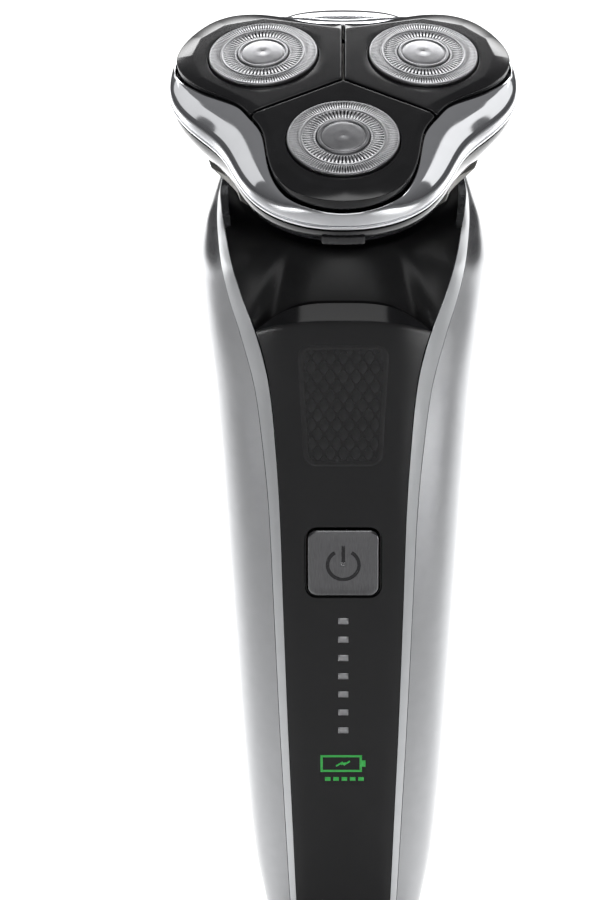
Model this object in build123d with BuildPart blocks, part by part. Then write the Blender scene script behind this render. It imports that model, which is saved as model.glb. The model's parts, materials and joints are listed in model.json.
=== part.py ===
from build123d import *

import math
import os

os.makedirs("parts", exist_ok=True)

# ---------------------------------------------------------------- driving sizes (mm, degrees)
# Frame: origin at the centre of the flat foot, +Z up the handle, the front faces -Y.

WALL = 1.8                  # thickness of the handle's shells
SEAM = 0.05                 # gap left between neighbouring shells
RUN = 0.3                   # gap between pieces that move past each other
SPLIT_Y = 6.0               # the rear shell starts here
CAP_TOP = 5.0               # the base cap ends here
CORNER_X, FRONT_Y, BACK_Y = 6.5, -3.3, 5.9  # centre lines of the section's four round corners

# Handle sections: height and half width. A corner's radius is the half width less CORNER_X.
SECTIONS = [
    (0, 12.0),
    (3, 13.2),
    (9, 14.4),
    (20, 16.4),
    (40, 18.4),
    (70, 20.5),
    (108, 22.8),
    (124, 24.5),
    (132, 25.0),
    (139, 23.9),
    (145, 21.7),
    (157, 15.6),
]

# Chrome strips seen from the front: height, inner edge, width.
STRIPS = [
    (CAP_TOP, 8.4, 1.3),
    (49, 9.9, 1.7),
    (90, 11.0, 2.0),
    (112, 12.4, 2.7),
    (124, 14.9, 3.1),
    (137, 19.1, 2.3),
    (148, 20.2, 2.1),
]

# Shoulder surface, turned about the head's axis: radius, depth below the shaving plane.
SHOULDER = [(14.4, 24.9), (20.3, 20.2), (25.9, 27.6), (30.6, 37.0), (95, 160)]
CREST_ROUND = 1.6           # radius rounding the shoulder's crest
RIM_BAND, RIM_START, STRIP_INNER = 3.4, 124.5, 14.7  # the strips follow the shoulder's rim from here up
COVER_DROP = 2.4            # thickness of the neck cover along the head's axis
FORM_END = 230              # far below the foot, along the head's axis

# Front controls.
PAD_WIDTH, PAD_FOOT, PAD_LOW, PAD_HIGH = 16.4, 14.2, 99.6, 122.6
PAD_DEPTH, PAD_PROUD, PAD_CORNER = 1.0, 0.3, 2.6
BUTTON_SIZE, BUTTON_Z, BUTTON_CORNER = 12.4, 81.8, 1.7
BUTTON_FACE, BUTTON_BACK, BUTTON_TRAVEL = 18.3, 14.4, 0.5
BUTTON_FLANGE = 1.1         # the flange behind the panel above and below the button
WINDOW_WIDTH, WINDOW_HEIGHT, WINDOW_Z = 9.6, 7.2, 41.2
GRIP_LOW, GRIP_HIGH, GRIP_WIDTH, GRIP_DEPTH = 24.0, 104.0, 17.0, 0.9
GRIP_PROUD, GRIP_CORNER = 0.3, 7.0

# Shaving head: its plane leans forward over the handle.
HEAD_TILT = 25.0
HEAD_Y, HEAD_Z = -9.0, 165.0
LOBES = {"front": 270, "right": 30, "left": 150}
RING_CIRCLE = 15.75         # cutters' distance from the head's axis
LEAN = 3.3                  # each cutter leans away from the head's centre
GUARD_R = 9.3
CAP_R = 4.4
PLATE_TOP, PLATE_THICK = 0.6, 2.0
# Lobed outlines: radius at a lobe's tip, radius at a valley, radius of the lobe's arc.
PLATE_OUTLINE = (30.6, 17.7, 14.0)
BEZEL_OUTLINE = (31.4, 23.3, 19.8)
FRAME_OUTLINE = (26.8, 18.0, 12.0)
RIM_OUTLINE = (30.7, 22.9, 19.2)
PLATE_SPLIT = 0.6           # gap between neighbouring plates
# Each plate tilts on two stub pins: distance from the head's axis, depth, radius, inner end, length.
PIVOT_R, PIVOT_DEPTH, STUB_R, STUB_IN, STUB_LONG = 22.5, 2.6, 0.7, 9.4, 2.2
BEZEL_FOOT = 7.5
CHAMBER_RIM = 7.8
NECK_DEPTH, NECK_R = 20.5, 15.0
SPIGOT_R, SPIGOT_END = 12.5, 25.0
CHAMBER_WALL = 1.5
HINGE_V, HINGE_DEPTH, HINGE_R, PIN_R = 26.0, 9.0, 1.9, 0.9

# Gears: the centre distance is MODULE * (SUN_TEETH + PLANET_TEETH) / 2 = RING_CIRCLE.
MODULE = 0.75
SUN_TEETH, PLANET_TEETH = 27, 15
GEAR_TOP, GEAR_THICK = 10.3, 2.4
BACKLASH = 0.14             # gap between meshing flanks
FLOOR_TOP = 8.9             # top of the gear cover, the floor under the cut hair
COVER_THICK = 1.1
PLATE_LEVEL, PLATE_DEEP = 13.2, 1.8  # top and thickness of the gear plate
HUB_R, HUB_END = 3.9, 18.6  # the central gear's hub
HEX_R = 2.2                 # corner radius of the drive shaft's hexagon
SPINDLE_R, SPINDLE_TOP, SPINDLE_HEX = 1.0, 3.4, 1.4

# Guards, cutters and plates.
GUARD_TOP_THICK, GUARD_WALL, GUARD_FOOT = 0.45, 0.4, 3.4
OUTER_SLOTS, INNER_SLOTS, SLOT_WIDE = 48, 32, 0.36
CAP_PROUD = 0.3
CUTTER_R, BLADE_TOP, BLADES = 8.55, 0.75, 9
SKIRT_FOOT, BEVEL_DEPTH, BEVEL_R = 3.8, 1.9, 25.0
FRAME_TOP = 5.1
VISOR_TOP, VISOR_FOOT, VISOR_WIDE = 3.4, 6.6, 18.0
LUG_X, LUG_LONG = 3.8, 4.4
LATCH_DEPTH, LATCH_WIDE, LATCH_HIGH = 9.8, 7.0, 1.8
LATCH_FACE, LATCH_BACK, LATCH_FLANGE = 29.9, 24.8, 0.7  # distances from the head's axis; flange thickness

# Inside the handle.
BATTERY_R, BATTERY_LOW, BATTERY_LONG, BATTERY_Y = 7.0, 15.0, 50.0, -0.2
BOARD_FRONT, BOARD_THICK, BOARD_WIDTH = 11.0, 1.2, 12.0
BOARD_LOW, BOARD_HIGH = 31.0, 94.0
MOTOR_TOP, MOTOR_LONG, MOTOR_R, MOTOR_FLAT = 28.6, 20.0, 10.0, 15.0
SOCKET_R, SOCKET_DEPTH, SOCKET_WALL = 2.8, 8.0, 1.6
MOUNT_TOP, MOUNT_THICK, MOUNT_R = 26.3, 2.2, 14.2
COLLAR_TOP, COLLAR_BORE = 21.1, 12.8
BOSS_FOOT = 9.05            # the front panel's screw bosses stand on the chassis here
SCREW_SPOTS = [(-8, 78), (8, 78), (-8, 96), (8, 96)]
CHASSIS_BACK, CHASSIS_THICK = -7.4, 1.6
CHASSIS_LOW, CHASSIS_HIGH = 13.0, 100.0
RAIL_X, RAIL_THICK, RAIL_BACK, RAIL_LONG = 7.15, 1.0, 4.0, 58.0

tilt = math.radians(HEAD_TILT)
HEAD = Plane(
    origin=(0, HEAD_Y, HEAD_Z),
    x_dir=(1, 0, 0),
    z_dir=(0, -math.sin(tilt), math.cos(tilt)),
)
HEAD_SIDE = Plane(origin=HEAD.origin, x_dir=(1, 0, 0), z_dir=-HEAD.y_dir)
HEAD_CUT = Plane(origin=HEAD.origin, x_dir=HEAD.y_dir, z_dir=(1, 0, 0))
HEAD_AXIS = Axis(HEAD.origin, HEAD.z_dir)


# ---------------------------------------------------------------- shared shapes

def save(builder, name):
    """Labels a piece made as one solid and writes it, without any loose sliver its cuts left."""
    piece = builder.solids().sort_by(SortBy.VOLUME)[-1]
    piece.label = name
    export_step(piece, f"parts/{name}.step")


def save_set(builder, name):
    """Labels a piece made of several equal solids and writes it."""
    builder.part.label = name
    export_step(builder.part, f"parts/{name}.step")


def head_level(depth):
    """The plane across the head's axis, this far below the shaving plane."""
    return HEAD.offset(-depth)


def lobe_spot(angle, radius=RING_CIRCLE):
    """A point of the head's plane in the direction of a lobe."""
    return (radius * math.cos(math.radians(angle)), radius * math.sin(math.radians(angle)))


def lobe_level(angle, depth, lean=0.0):
    """A plane centred on a cutter's axis, with its x axis pointing away from the head's centre."""
    spot = HEAD.from_local_coords((*lobe_spot(angle), 0))
    away = (HEAD.from_local_coords((*lobe_spot(angle, 2 * RING_CIRCLE), 0)) - spot).normalized()
    side = HEAD.z_dir.cross(away)
    axis = away * math.sin(math.radians(lean)) + HEAD.z_dir * math.cos(math.radians(lean))
    level = Plane(origin=spot, x_dir=side.cross(axis), z_dir=axis)
    return level.offset(-depth)


def handle_form(inset):
    """The handle's outer form, made smaller all round by the inset: four turned corners and flats."""
    edge = [(half - CORNER_X - inset, z) for z, half in SECTIONS]
    foot, top = SECTIONS[0][0], SECTIONS[-1][0]
    corners = [(1, BACK_Y, 0), (-1, BACK_Y, 90), (-1, FRONT_Y, 180), (1, FRONT_Y, 270)]
    with BuildPart() as form:
        for side, y, turn in corners:
            spot = Vector(side * CORNER_X, y, 0)
            out = Vector(1, 0, 0).rotate(Axis.Z, turn)
            with BuildSketch(Plane(origin=spot, x_dir=out, z_dir=out.cross(Vector(0, 0, 1)))):
                with BuildLine():
                    Polyline((0, foot), *edge, (0, top), close=True)
                make_face()
            revolve(axis=Axis(spot, (0, 0, 1)), revolution_arc=90)
        with BuildSketch(Plane.YZ.offset(-CORNER_X)):
            with BuildLine():
                front = [(FRONT_Y - r, z) for r, z in edge]
                back = [(BACK_Y + r, z) for r, z in reversed(edge)]
                Polyline(*front, *back, close=True)
            make_face()
        extrude(amount=2 * CORNER_X)
        for side in (-1, 1):
            with BuildSketch(Plane.XZ.offset(-BACK_Y)):
                with BuildLine():
                    flank = [(side * (CORNER_X + r), z) for r, z in edge]
                    Polyline((side * CORNER_X, foot), *flank, (side * CORNER_X, top), close=True)
                make_face()
            extrude(amount=BACK_Y - FRONT_Y)
    return form.part


def below_shoulder(drop):
    """Everything under the shoulder surface, lowered by the drop."""
    first, last = SHOULDER[0], SHOULDER[-1]
    points = [(0, -first[1] - drop)] + [(r, -h - drop) for r, h in SHOULDER]
    points += [(last[0], -FORM_END), (0, -FORM_END)]
    with BuildPart() as form:
        with BuildSketch(HEAD_SIDE) as profile:
            with BuildLine():
                Polyline(*points, close=True)
            make_face()
            crest = profile.vertices().filter_by_position(Axis.X, SHOULDER[1][0] - 0.1, SHOULDER[1][0] + 0.1)
            fillet(crest, CREST_ROUND)
        revolve(axis=HEAD_AXIS)
    return form.part


def strip_line(side, outer, shift=0.0):
    """An edge of a chrome strip, from the foot up to the shoulder."""
    points = []
    for z, inner, width in STRIPS:
        x = inner + (width if outer else 0) + shift
        points.append((side * x, z))
    return points


def trefoil(tip, valley, lobe_r, grow=0.0):
    """A three-lobed face bounded by six tangent arcs, with one lobe facing the front."""
    tip, valley, lobe_r = tip + grow, valley + grow, lobe_r + grow
    lobe_centre = tip - lobe_r
    reach = lobe_centre / 2 - valley
    hollow_r = (reach ** 2 + 0.75 * lobe_centre ** 2 - lobe_r ** 2) / (2 * lobe_r + 2 * reach)
    hollow_centre = valley + hollow_r
    with BuildSketch(Plane.XY, mode=Mode.PRIVATE) as face:
        with BuildLine():
            for angle in LOBES.values():
                lobe = Vector(*lobe_spot(angle, lobe_centre))
                after = Vector(*lobe_spot(angle + 120, lobe_centre))
                before_hollow = Vector(*lobe_spot(angle - 60, hollow_centre))
                after_hollow = Vector(*lobe_spot(angle + 60, hollow_centre))
                first = lobe + (before_hollow - lobe).normalized() * lobe_r
                last = lobe + (after_hollow - lobe).normalized() * lobe_r
                following = after + (after_hollow - after).normalized() * lobe_r
                ThreePointArc(first, Vector(*lobe_spot(angle, tip)), last)
                ThreePointArc(last, Vector(*lobe_spot(angle + 60, valley)), following)
        make_face()
    return face.sketch


def gear_outline(teeth, backlash, first):
    """An involute spur gear with three points to a flank, one tooth centred on the first angle."""
    pitch_r = MODULE * teeth / 2
    base_r = pitch_r * math.cos(math.radians(20))
    half_tooth = (math.pi * MODULE / 2 - backlash) / 2 / pitch_r

    def involute(radius):
        pressure = math.acos(min(1, base_r / radius))
        return math.tan(pressure) - pressure

    flank = []
    for radius in (pitch_r - 1.2 * MODULE, pitch_r - 0.45 * MODULE, pitch_r + 0.3 * MODULE, pitch_r + MODULE):
        flank.append((radius, half_tooth + involute(pitch_r) - involute(max(radius, base_r))))
    points = []
    for i in range(teeth):
        middle = math.radians(first) + 2 * math.pi * i / teeth
        for radius, half in flank:
            points.append((radius * math.cos(middle - half), radius * math.sin(middle - half)))
        for radius, half in reversed(flank):
            points.append((radius * math.cos(middle + half), radius * math.sin(middle + half)))
    return points


# ---------------------------------------------------------------- handle shells

outer_form = handle_form(0)
inner_form = handle_form(WALL)
under_shoulder = below_shoulder(0)

with BuildPart() as skin:
    add(outer_form)
    add(under_shoulder, mode=Mode.INTERSECT)
    add(inner_form, mode=Mode.SUBTRACT)

with BuildPart() as front_skin:
    add(skin.part)
    with Locations((0, SPLIT_Y, 90)):
        Box(80, 80, 2 * (90 - CAP_TOP), align=(Align.CENTER, Align.MAX, Align.CENTER), mode=Mode.INTERSECT)


def pad_outline(grow):
    """The thumb pad's rounded, slightly tapered outline."""
    with BuildSketch(Plane.XZ) as outline:
        with BuildLine():
            Polyline(
                (-PAD_FOOT / 2, PAD_LOW),
                (PAD_FOOT / 2, PAD_LOW),
                (PAD_WIDTH / 2, PAD_HIGH),
                (-PAD_WIDTH / 2, PAD_HIGH),
                close=True,
            )
        make_face()
        fillet(outline.vertices(), PAD_CORNER)
        if grow:
            offset(amount=grow)
    return outline.sketch


with BuildPart() as pad_bed:
    add(handle_form(PAD_DEPTH))

with BuildPart() as thumb_pad:
    extrude(pad_outline(0), amount=30, dir=(0, -1, 0))
    add(handle_form(-PAD_PROUD), mode=Mode.INTERSECT)
    add(pad_bed.part, mode=Mode.SUBTRACT)
save(thumb_pad, "thumb_pad")

with BuildPart() as pad_pocket:
    extrude(pad_outline(SEAM), amount=30, dir=(0, -1, 0))
    add(pad_bed.part, mode=Mode.SUBTRACT)

with BuildPart() as rim_band:
    add(front_skin.part)
    add(below_shoulder(RIM_BAND), mode=Mode.SUBTRACT)
    with Locations((0, 0, RIM_START)):
        Box(80, 80, 80, align=(Align.CENTER, Align.CENTER, Align.MIN), mode=Mode.INTERSECT)


def side_half(part, side):
    """The left or right half of a part."""
    with BuildPart() as half:
        add(part)
        with Locations((side * STRIP_INNER, 0, 0)):
            half_align = (Align.MIN if side > 0 else Align.MAX, Align.CENTER, Align.CENTER)
            Box(80, 90, 400, align=half_align, mode=Mode.INTERSECT)
    return half.part


rims = {side: side_half(rim_band.part, side) for side in (-1, 1)}

with BuildPart() as bosses:
    with BuildSketch(Plane.XZ.offset(BOSS_FOOT)):
        with Locations(*SCREW_SPOTS):
            Circle(1.5)
    extrude(amount=20)
    add(handle_form(WALL - 0.4), mode=Mode.INTERSECT)

with BuildPart() as front_panel:
    add(front_skin.part)
    for side in (-1, 1):
        add(rims[side], mode=Mode.SUBTRACT)
    with BuildSketch(Plane.XZ.offset(-SPLIT_Y)):
        with BuildLine():
            left = Polyline(*strip_line(-1, False, -SEAM))
            right = Polyline(*strip_line(1, False, -SEAM))
            Line(left @ 0, right @ 0)
            Line(left @ 1, right @ 1)
        make_face()
    extrude(amount=40, mode=Mode.INTERSECT)
    add(pad_pocket.part, mode=Mode.SUBTRACT)
    add(bosses.part)
    with BuildSketch(Plane.XZ.offset(BOSS_FOOT)):
        with Locations(*SCREW_SPOTS):
            Circle(0.8)
    extrude(amount=3.2, mode=Mode.SUBTRACT)
    with BuildSketch(Plane.XZ):
        with Locations((0, BUTTON_Z)):
            RectangleRounded(BUTTON_SIZE + 2 * RUN, BUTTON_SIZE + 2 * RUN, BUTTON_CORNER + RUN)
        with Locations((0, WINDOW_Z)):
            RectangleRounded(WINDOW_WIDTH, WINDOW_HEIGHT, 1.0)
    extrude(amount=30, mode=Mode.SUBTRACT)
save(front_panel, "front_panel")

for side, word in ((-1, "left"), (1, "right")):
    with BuildPart() as strip:
        add(front_skin.part)
        with BuildSketch(Plane.XZ.offset(-SPLIT_Y)):
            with BuildLine():
                inner = Polyline(*strip_line(side, False))
                outer = Polyline(*strip_line(side, True))
                Line(inner @ 0, outer @ 0)
                Line(inner @ 1, outer @ 1)
            make_face()
        extrude(amount=40, mode=Mode.INTERSECT)
        add(rims[side])
    save(strip, f"chrome_strip_{word}")

    with BuildPart() as side_panel:
        add(front_skin.part)
        with BuildSketch(Plane.XZ.offset(-SPLIT_Y)):
            with BuildLine():
                edge = Polyline(*strip_line(side, True, SEAM))
                Polyline(edge @ 0, (side * 30, CAP_TOP), (side * 30, 148), edge @ 1)
            make_face()
        extrude(amount=40, mode=Mode.INTERSECT)
        add(rims[side], mode=Mode.SUBTRACT)
    save(side_panel, f"side_panel_{word}")

with BuildPart() as grip_bed:
    add(handle_form(GRIP_DEPTH))

with BuildPart() as rear_grip:
    with BuildSketch(Plane.XZ):
        with Locations((0, (GRIP_LOW + GRIP_HIGH) / 2)):
            RectangleRounded(GRIP_WIDTH, GRIP_HIGH - GRIP_LOW, GRIP_CORNER)
    extrude(amount=-30)
    add(handle_form(-GRIP_PROUD), mode=Mode.INTERSECT)
    add(grip_bed.part, mode=Mode.SUBTRACT)
save(rear_grip, "rear_grip")

with BuildPart() as grip_pocket:
    with BuildSketch(Plane.XZ):
        with Locations((0, (GRIP_LOW + GRIP_HIGH) / 2)):
            RectangleRounded(GRIP_WIDTH + 2 * SEAM, GRIP_HIGH - GRIP_LOW + 2 * SEAM, GRIP_CORNER + SEAM)
    extrude(amount=-30)
    add(grip_bed.part, mode=Mode.SUBTRACT)

with BuildPart() as rear_shell:
    add(skin.part)
    with Locations((0, SPLIT_Y + SEAM, 90)):
        Box(80, 80, 2 * (90 - CAP_TOP), align=(Align.CENTER, Align.MIN, Align.CENTER), mode=Mode.INTERSECT)
    add(grip_pocket.part, mode=Mode.SUBTRACT)
save(rear_shell, "rear_shell")

with BuildPart() as neck_cover:
    add(handle_form(WALL + SEAM))
    add(under_shoulder, mode=Mode.INTERSECT)
    add(below_shoulder(COVER_DROP), mode=Mode.SUBTRACT)
    with BuildSketch(head_level(0)):
        Circle(MOUNT_R + 0.1)
    extrude(amount=-60, mode=Mode.SUBTRACT)
save(neck_cover, "neck_cover")


# ---------------------------------------------------------------- foot and charging socket

with BuildPart() as cap_room:
    add(inner_form)
    with Locations((0, 0, WALL)):
        Box(60, 60, 60, align=(Align.CENTER, Align.CENTER, Align.MIN), mode=Mode.INTERSECT)

with BuildPart() as base_cap:
    add(outer_form)
    Box(60, 60, CAP_TOP - SEAM, align=(Align.CENTER, Align.CENTER, Align.MIN), mode=Mode.INTERSECT)
    add(cap_room.part, mode=Mode.SUBTRACT)
    Cylinder(SOCKET_R + SOCKET_WALL, 30, mode=Mode.SUBTRACT)
save(base_cap, "base_cap")

with BuildPart() as charging_socket:
    with BuildSketch():
        Circle(SOCKET_R + SOCKET_WALL - SEAM)
    extrude(amount=SOCKET_DEPTH + SOCKET_WALL)
    with BuildSketch():
        Circle(SOCKET_R)
    extrude(amount=SOCKET_DEPTH, mode=Mode.SUBTRACT)
    with Locations((0, 0, SOCKET_DEPTH)):
        with GridLocations(2.6, 1, 2, 1):
            Cylinder(0.45, 10, mode=Mode.SUBTRACT)
save(charging_socket, "charging_socket")

with BuildPart() as charging_contacts:
    with Locations((0, 0, SOCKET_DEPTH)):
        with GridLocations(2.6, 1, 2, 1):
            Cylinder(0.45, 3.4, align=(Align.CENTER, Align.CENTER, Align.MIN))
save_set(charging_contacts, "charging_contacts")


# ---------------------------------------------------------------- chassis, battery, board, controls

with BuildPart() as chassis:
    with Locations((0, CHASSIS_BACK, CHASSIS_LOW)):
        Box(20, CHASSIS_THICK, CHASSIS_HIGH - CHASSIS_LOW, align=(Align.CENTER, Align.MAX, Align.MIN))
    for side in (-1, 1):
        with Locations((side * (RAIL_X + RAIL_THICK / 2), CHASSIS_BACK, CHASSIS_LOW)):
            Box(RAIL_THICK, RAIL_BACK - CHASSIS_BACK, RAIL_LONG, align=(Align.CENTER, Align.MIN, Align.MIN))
    for level in (CHASSIS_LOW, BATTERY_LOW + BATTERY_LONG + 2):
        with Locations((0, CHASSIS_BACK, level)):
            Box(2 * RAIL_X, 11, 1.2, align=(Align.CENTER, Align.MIN, Align.MIN))
    with BuildSketch(Plane.XZ.offset(-CHASSIS_BACK + CHASSIS_THICK)):
        with Locations(*SCREW_SPOTS):
            Circle(0.8)
    extrude(amount=-CHASSIS_THICK - 1, mode=Mode.SUBTRACT)
save(chassis, "chassis")

with BuildPart() as battery:
    with Locations((0, BATTERY_Y, BATTERY_LOW + 0.4)):
        Cylinder(BATTERY_R, BATTERY_LONG, align=(Align.CENTER, Align.CENTER, Align.MIN))
    chamfer(battery.edges().filter_by(GeomType.CIRCLE), 0.8)
    with Locations((0, BATTERY_Y, BATTERY_LOW + 0.4 + BATTERY_LONG)):
        Cylinder(2.6, 0.8, align=(Align.CENTER, Align.CENTER, Align.MIN))
save(battery, "battery")

with BuildPart() as battery_contacts:
    with Locations((0, BATTERY_Y, BATTERY_LOW + 0.4 + BATTERY_LONG + 0.8)):
        Box(8, 6, 0.4, align=(Align.CENTER, Align.CENTER, Align.MIN))
    with Locations((0, BATTERY_Y, BATTERY_LOW)):
        Box(8, 6, 0.4, align=(Align.CENTER, Align.CENTER, Align.MIN))
save_set(battery_contacts, "battery_contacts")

with BuildPart() as circuit_board:
    with Locations((0, -BOARD_FRONT, BOARD_LOW)):
        Box(BOARD_WIDTH, BOARD_THICK, BOARD_HIGH - BOARD_LOW, align=(Align.CENTER, Align.MIN, Align.MIN))
    with Locations((0, -BOARD_FRONT, 64)):
        Box(5, 1.0, 5, align=(Align.CENTER, Align.MAX, Align.CENTER))
    with Locations((0, -BOARD_FRONT, 56)):
        Box(4, 0.8, 3, align=(Align.CENTER, Align.MAX, Align.CENTER))
save(circuit_board, "circuit_board")

with BuildPart() as tact_switch:
    with Locations((0, -BOARD_FRONT, BUTTON_Z)):
        Box(6, 2.4, 6, align=(Align.CENTER, Align.MAX, Align.CENTER))
    with BuildSketch(Plane.XZ.offset(BOARD_FRONT + 2.4)):
        with Locations((0, BUTTON_Z)):
            Circle(1.7)
    extrude(amount=BUTTON_BACK - BUTTON_TRAVEL - 0.2 - BOARD_FRONT - 2.4)
save(tact_switch, "tact_switch")

with BuildPart() as power_button:
    with BuildSketch(Plane.XZ.offset(BUTTON_BACK)):
        with Locations((0, BUTTON_Z)):
            RectangleRounded(BUTTON_SIZE, BUTTON_SIZE, BUTTON_CORNER)
    extrude(amount=BUTTON_FACE - BUTTON_BACK)
    fillet(power_button.faces().sort_by(Axis.Y)[0].edges(), 0.45)
    with BuildSketch(Plane.XZ.offset(BUTTON_BACK)):
        with Locations((0, BUTTON_Z)):
            RectangleRounded(BUTTON_SIZE, BUTTON_SIZE + 2 * BUTTON_FLANGE, BUTTON_CORNER)
    extrude(amount=0.9)
save(power_button, "power_button")

with BuildPart() as indicator_window:
    with BuildSketch(Plane.XZ):
        with Locations((0, WINDOW_Z)):
            RectangleRounded(WINDOW_WIDTH - 2 * SEAM, WINDOW_HEIGHT - 2 * SEAM, 1.0 - SEAM)
    extrude(amount=30)
    add(outer_form, mode=Mode.INTERSECT)
    add(inner_form, mode=Mode.SUBTRACT)
save(indicator_window, "indicator_window")

with BuildPart() as indicator_light:
    with Locations((0, -BOARD_FRONT, WINDOW_Z)):
        Box(6.4, 1.2, 4.0, align=(Align.CENTER, Align.MAX, Align.CENTER))
    with Locations((0, -BOARD_FRONT - 1.2, WINDOW_Z)):
        Box(5.2, 0.8, 2.8, align=(Align.CENTER, Align.MAX, Align.CENTER))
save(indicator_light, "indicator_light")

with BuildPart() as chassis_screws:
    with BuildSketch(Plane.XZ.offset(-CHASSIS_BACK)):
        with Locations(*SCREW_SPOTS):
            Circle(0.75)
    extrude(amount=CHASSIS_THICK + 2.6)
    with BuildSketch(Plane.XZ.offset(-CHASSIS_BACK)):
        with Locations(*SCREW_SPOTS):
            Circle(1.3)
    extrude(amount=-0.9)
save_set(chassis_screws, "chassis_screws")


# ---------------------------------------------------------------- motor and drive

with BuildPart() as motor:
    with BuildSketch(head_level(MOTOR_TOP)):
        Circle(MOTOR_R)
        Rectangle(3 * MOTOR_R, MOTOR_FLAT, mode=Mode.INTERSECT)
    extrude(amount=-MOTOR_LONG)
    with BuildSketch(head_level(MOTOR_TOP)):
        Circle(3.0)
        Circle(1.1, mode=Mode.SUBTRACT)
    extrude(amount=0.8)
    with BuildSketch(head_level(MOTOR_TOP)):
        Circle(1.1)
    extrude(amount=-2, mode=Mode.SUBTRACT)
    with BuildSketch(head_level(MOTOR_TOP + MOTOR_LONG)):
        Circle(2.6)
    extrude(amount=-1.2)
save(motor, "motor")

with BuildPart() as motor_mount:
    with BuildSketch(head_level(MOUNT_TOP)):
        Circle(MOUNT_R)
        Circle(4.0, mode=Mode.SUBTRACT)
        with GridLocations(17, 1, 2, 1):
            Circle(0.8, mode=Mode.SUBTRACT)
    extrude(amount=-MOUNT_THICK)
save(motor_mount, "motor_mount")

with BuildPart() as motor_screws:
    with BuildSketch(head_level(MOUNT_TOP)):
        with GridLocations(17, 1, 2, 1):
            Circle(0.75)
    extrude(amount=-MOUNT_THICK)
    with BuildSketch(head_level(MOUNT_TOP)):
        with GridLocations(17, 1, 2, 1):
            Circle(1.3)
    extrude(amount=0.8)
save_set(motor_screws, "motor_screws")

with BuildPart() as neck_collar:
    with BuildSketch(head_level(COLLAR_TOP)):
        Circle(MOUNT_R)
        Circle(COLLAR_BORE, mode=Mode.SUBTRACT)
    extrude(amount=COLLAR_TOP - MOUNT_TOP)
    chamfer(neck_collar.edges().filter_by(GeomType.CIRCLE).group_by(HEAD_AXIS)[-1], 0.4)
save(neck_collar, "neck_collar")

with BuildPart() as drive_shaft:
    with BuildSketch(head_level(MOTOR_TOP + 1.8)):
        Circle(1.0)
    extrude(amount=5.0)
    with BuildSketch(head_level(MOTOR_TOP - 1.3)):
        Circle(3.2)
    extrude(amount=3.6)
    with BuildSketch(head_level(MOTOR_TOP - 4.9)):
        RegularPolygon(HEX_R, 6)
    extrude(amount=9.3)
save(drive_shaft, "drive_shaft")


# ---------------------------------------------------------------- hair chamber and gear train

def funnel(shrink):
    """The hair chamber's outer form, or with a shrink its room: a lobed rim cut to a cone."""
    rim = trefoil(*RIM_OUTLINE, -shrink)
    with BuildPart() as form:
        with BuildSketch(head_level(NECK_DEPTH)):
            add(rim)
        extrude(amount=NECK_DEPTH - CHAMBER_RIM)
        with BuildSketch(HEAD_SIDE):
            with BuildLine():
                Polyline(
                    (0, -NECK_DEPTH),
                    (NECK_R - shrink, -NECK_DEPTH),
                    (RIM_OUTLINE[0] + 1.5 - shrink, -CHAMBER_RIM),
                    (0, -CHAMBER_RIM),
                    close=True,
                )
            make_face()
        revolve(axis=HEAD_AXIS, mode=Mode.INTERSECT)
    return form.part


with BuildPart() as hinge_lugs:
    with BuildSketch(HEAD_CUT.offset(LUG_X)):
        with Locations((HINGE_V, -HINGE_DEPTH)):
            Circle(HINGE_R)
        with BuildLine():
            Polyline(
                (21.7, -HINGE_DEPTH + 0.8),
                (HINGE_V, -HINGE_DEPTH + 0.8),
                (HINGE_V + 0.7, -HINGE_DEPTH - 1.7),
                (20.2, -HINGE_DEPTH - 3.6),
                close=True,
            )
        make_face()
        with Locations((HINGE_V, -HINGE_DEPTH)):
            Circle(PIN_R, mode=Mode.SUBTRACT)
    extrude(amount=LUG_LONG)
    mirror(about=Plane.YZ)

with BuildPart() as hair_chamber:
    add(funnel(0))
    add(hinge_lugs.part)
    add(funnel(CHAMBER_WALL), mode=Mode.SUBTRACT)
    with BuildSketch(head_level(SPIGOT_END)):
        Circle(SPIGOT_R)
    extrude(amount=SPIGOT_END - NECK_DEPTH)
    with BuildSketch(head_level(NECK_DEPTH)):
        Circle(NECK_R - 0.8)
    extrude(amount=1.4)
    with BuildSketch(head_level(SPIGOT_END)):
        Circle(SPIGOT_R - CHAMBER_WALL)
    extrude(amount=SPIGOT_END - NECK_DEPTH + 1.4, mode=Mode.SUBTRACT)
    with BuildSketch(head_level(SPIGOT_END - 1.3)):
        Circle(SPIGOT_R)
        Circle(SPIGOT_R - 0.8, mode=Mode.SUBTRACT)
    extrude(amount=-1.2, mode=Mode.SUBTRACT)
    with BuildSketch(HEAD_SIDE.offset(24)):
        with Locations((0, -LATCH_DEPTH)):
            Rectangle(LATCH_WIDE + 2 * RUN, LATCH_HIGH + 2 * RUN)
    extrude(amount=10, mode=Mode.SUBTRACT)
save(hair_chamber, "hair_chamber")

with BuildPart() as spigot_seal:
    with BuildSketch(head_level(SPIGOT_END - 1.25)):
        Circle(SPIGOT_R + 0.15)
        Circle(SPIGOT_R - 0.75, mode=Mode.SUBTRACT)
    extrude(amount=-1.1)
    fillet(spigot_seal.edges(), 0.3)
save(spigot_seal, "spigot_seal")

with BuildPart() as hinge_pin:
    with BuildSketch(HEAD_CUT.offset(-LUG_X - LUG_LONG)):
        with Locations((HINGE_V, -HINGE_DEPTH)):
            Circle(PIN_R)
    extrude(amount=2 * (LUG_X + LUG_LONG))
save(hinge_pin, "hinge_pin")

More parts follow.
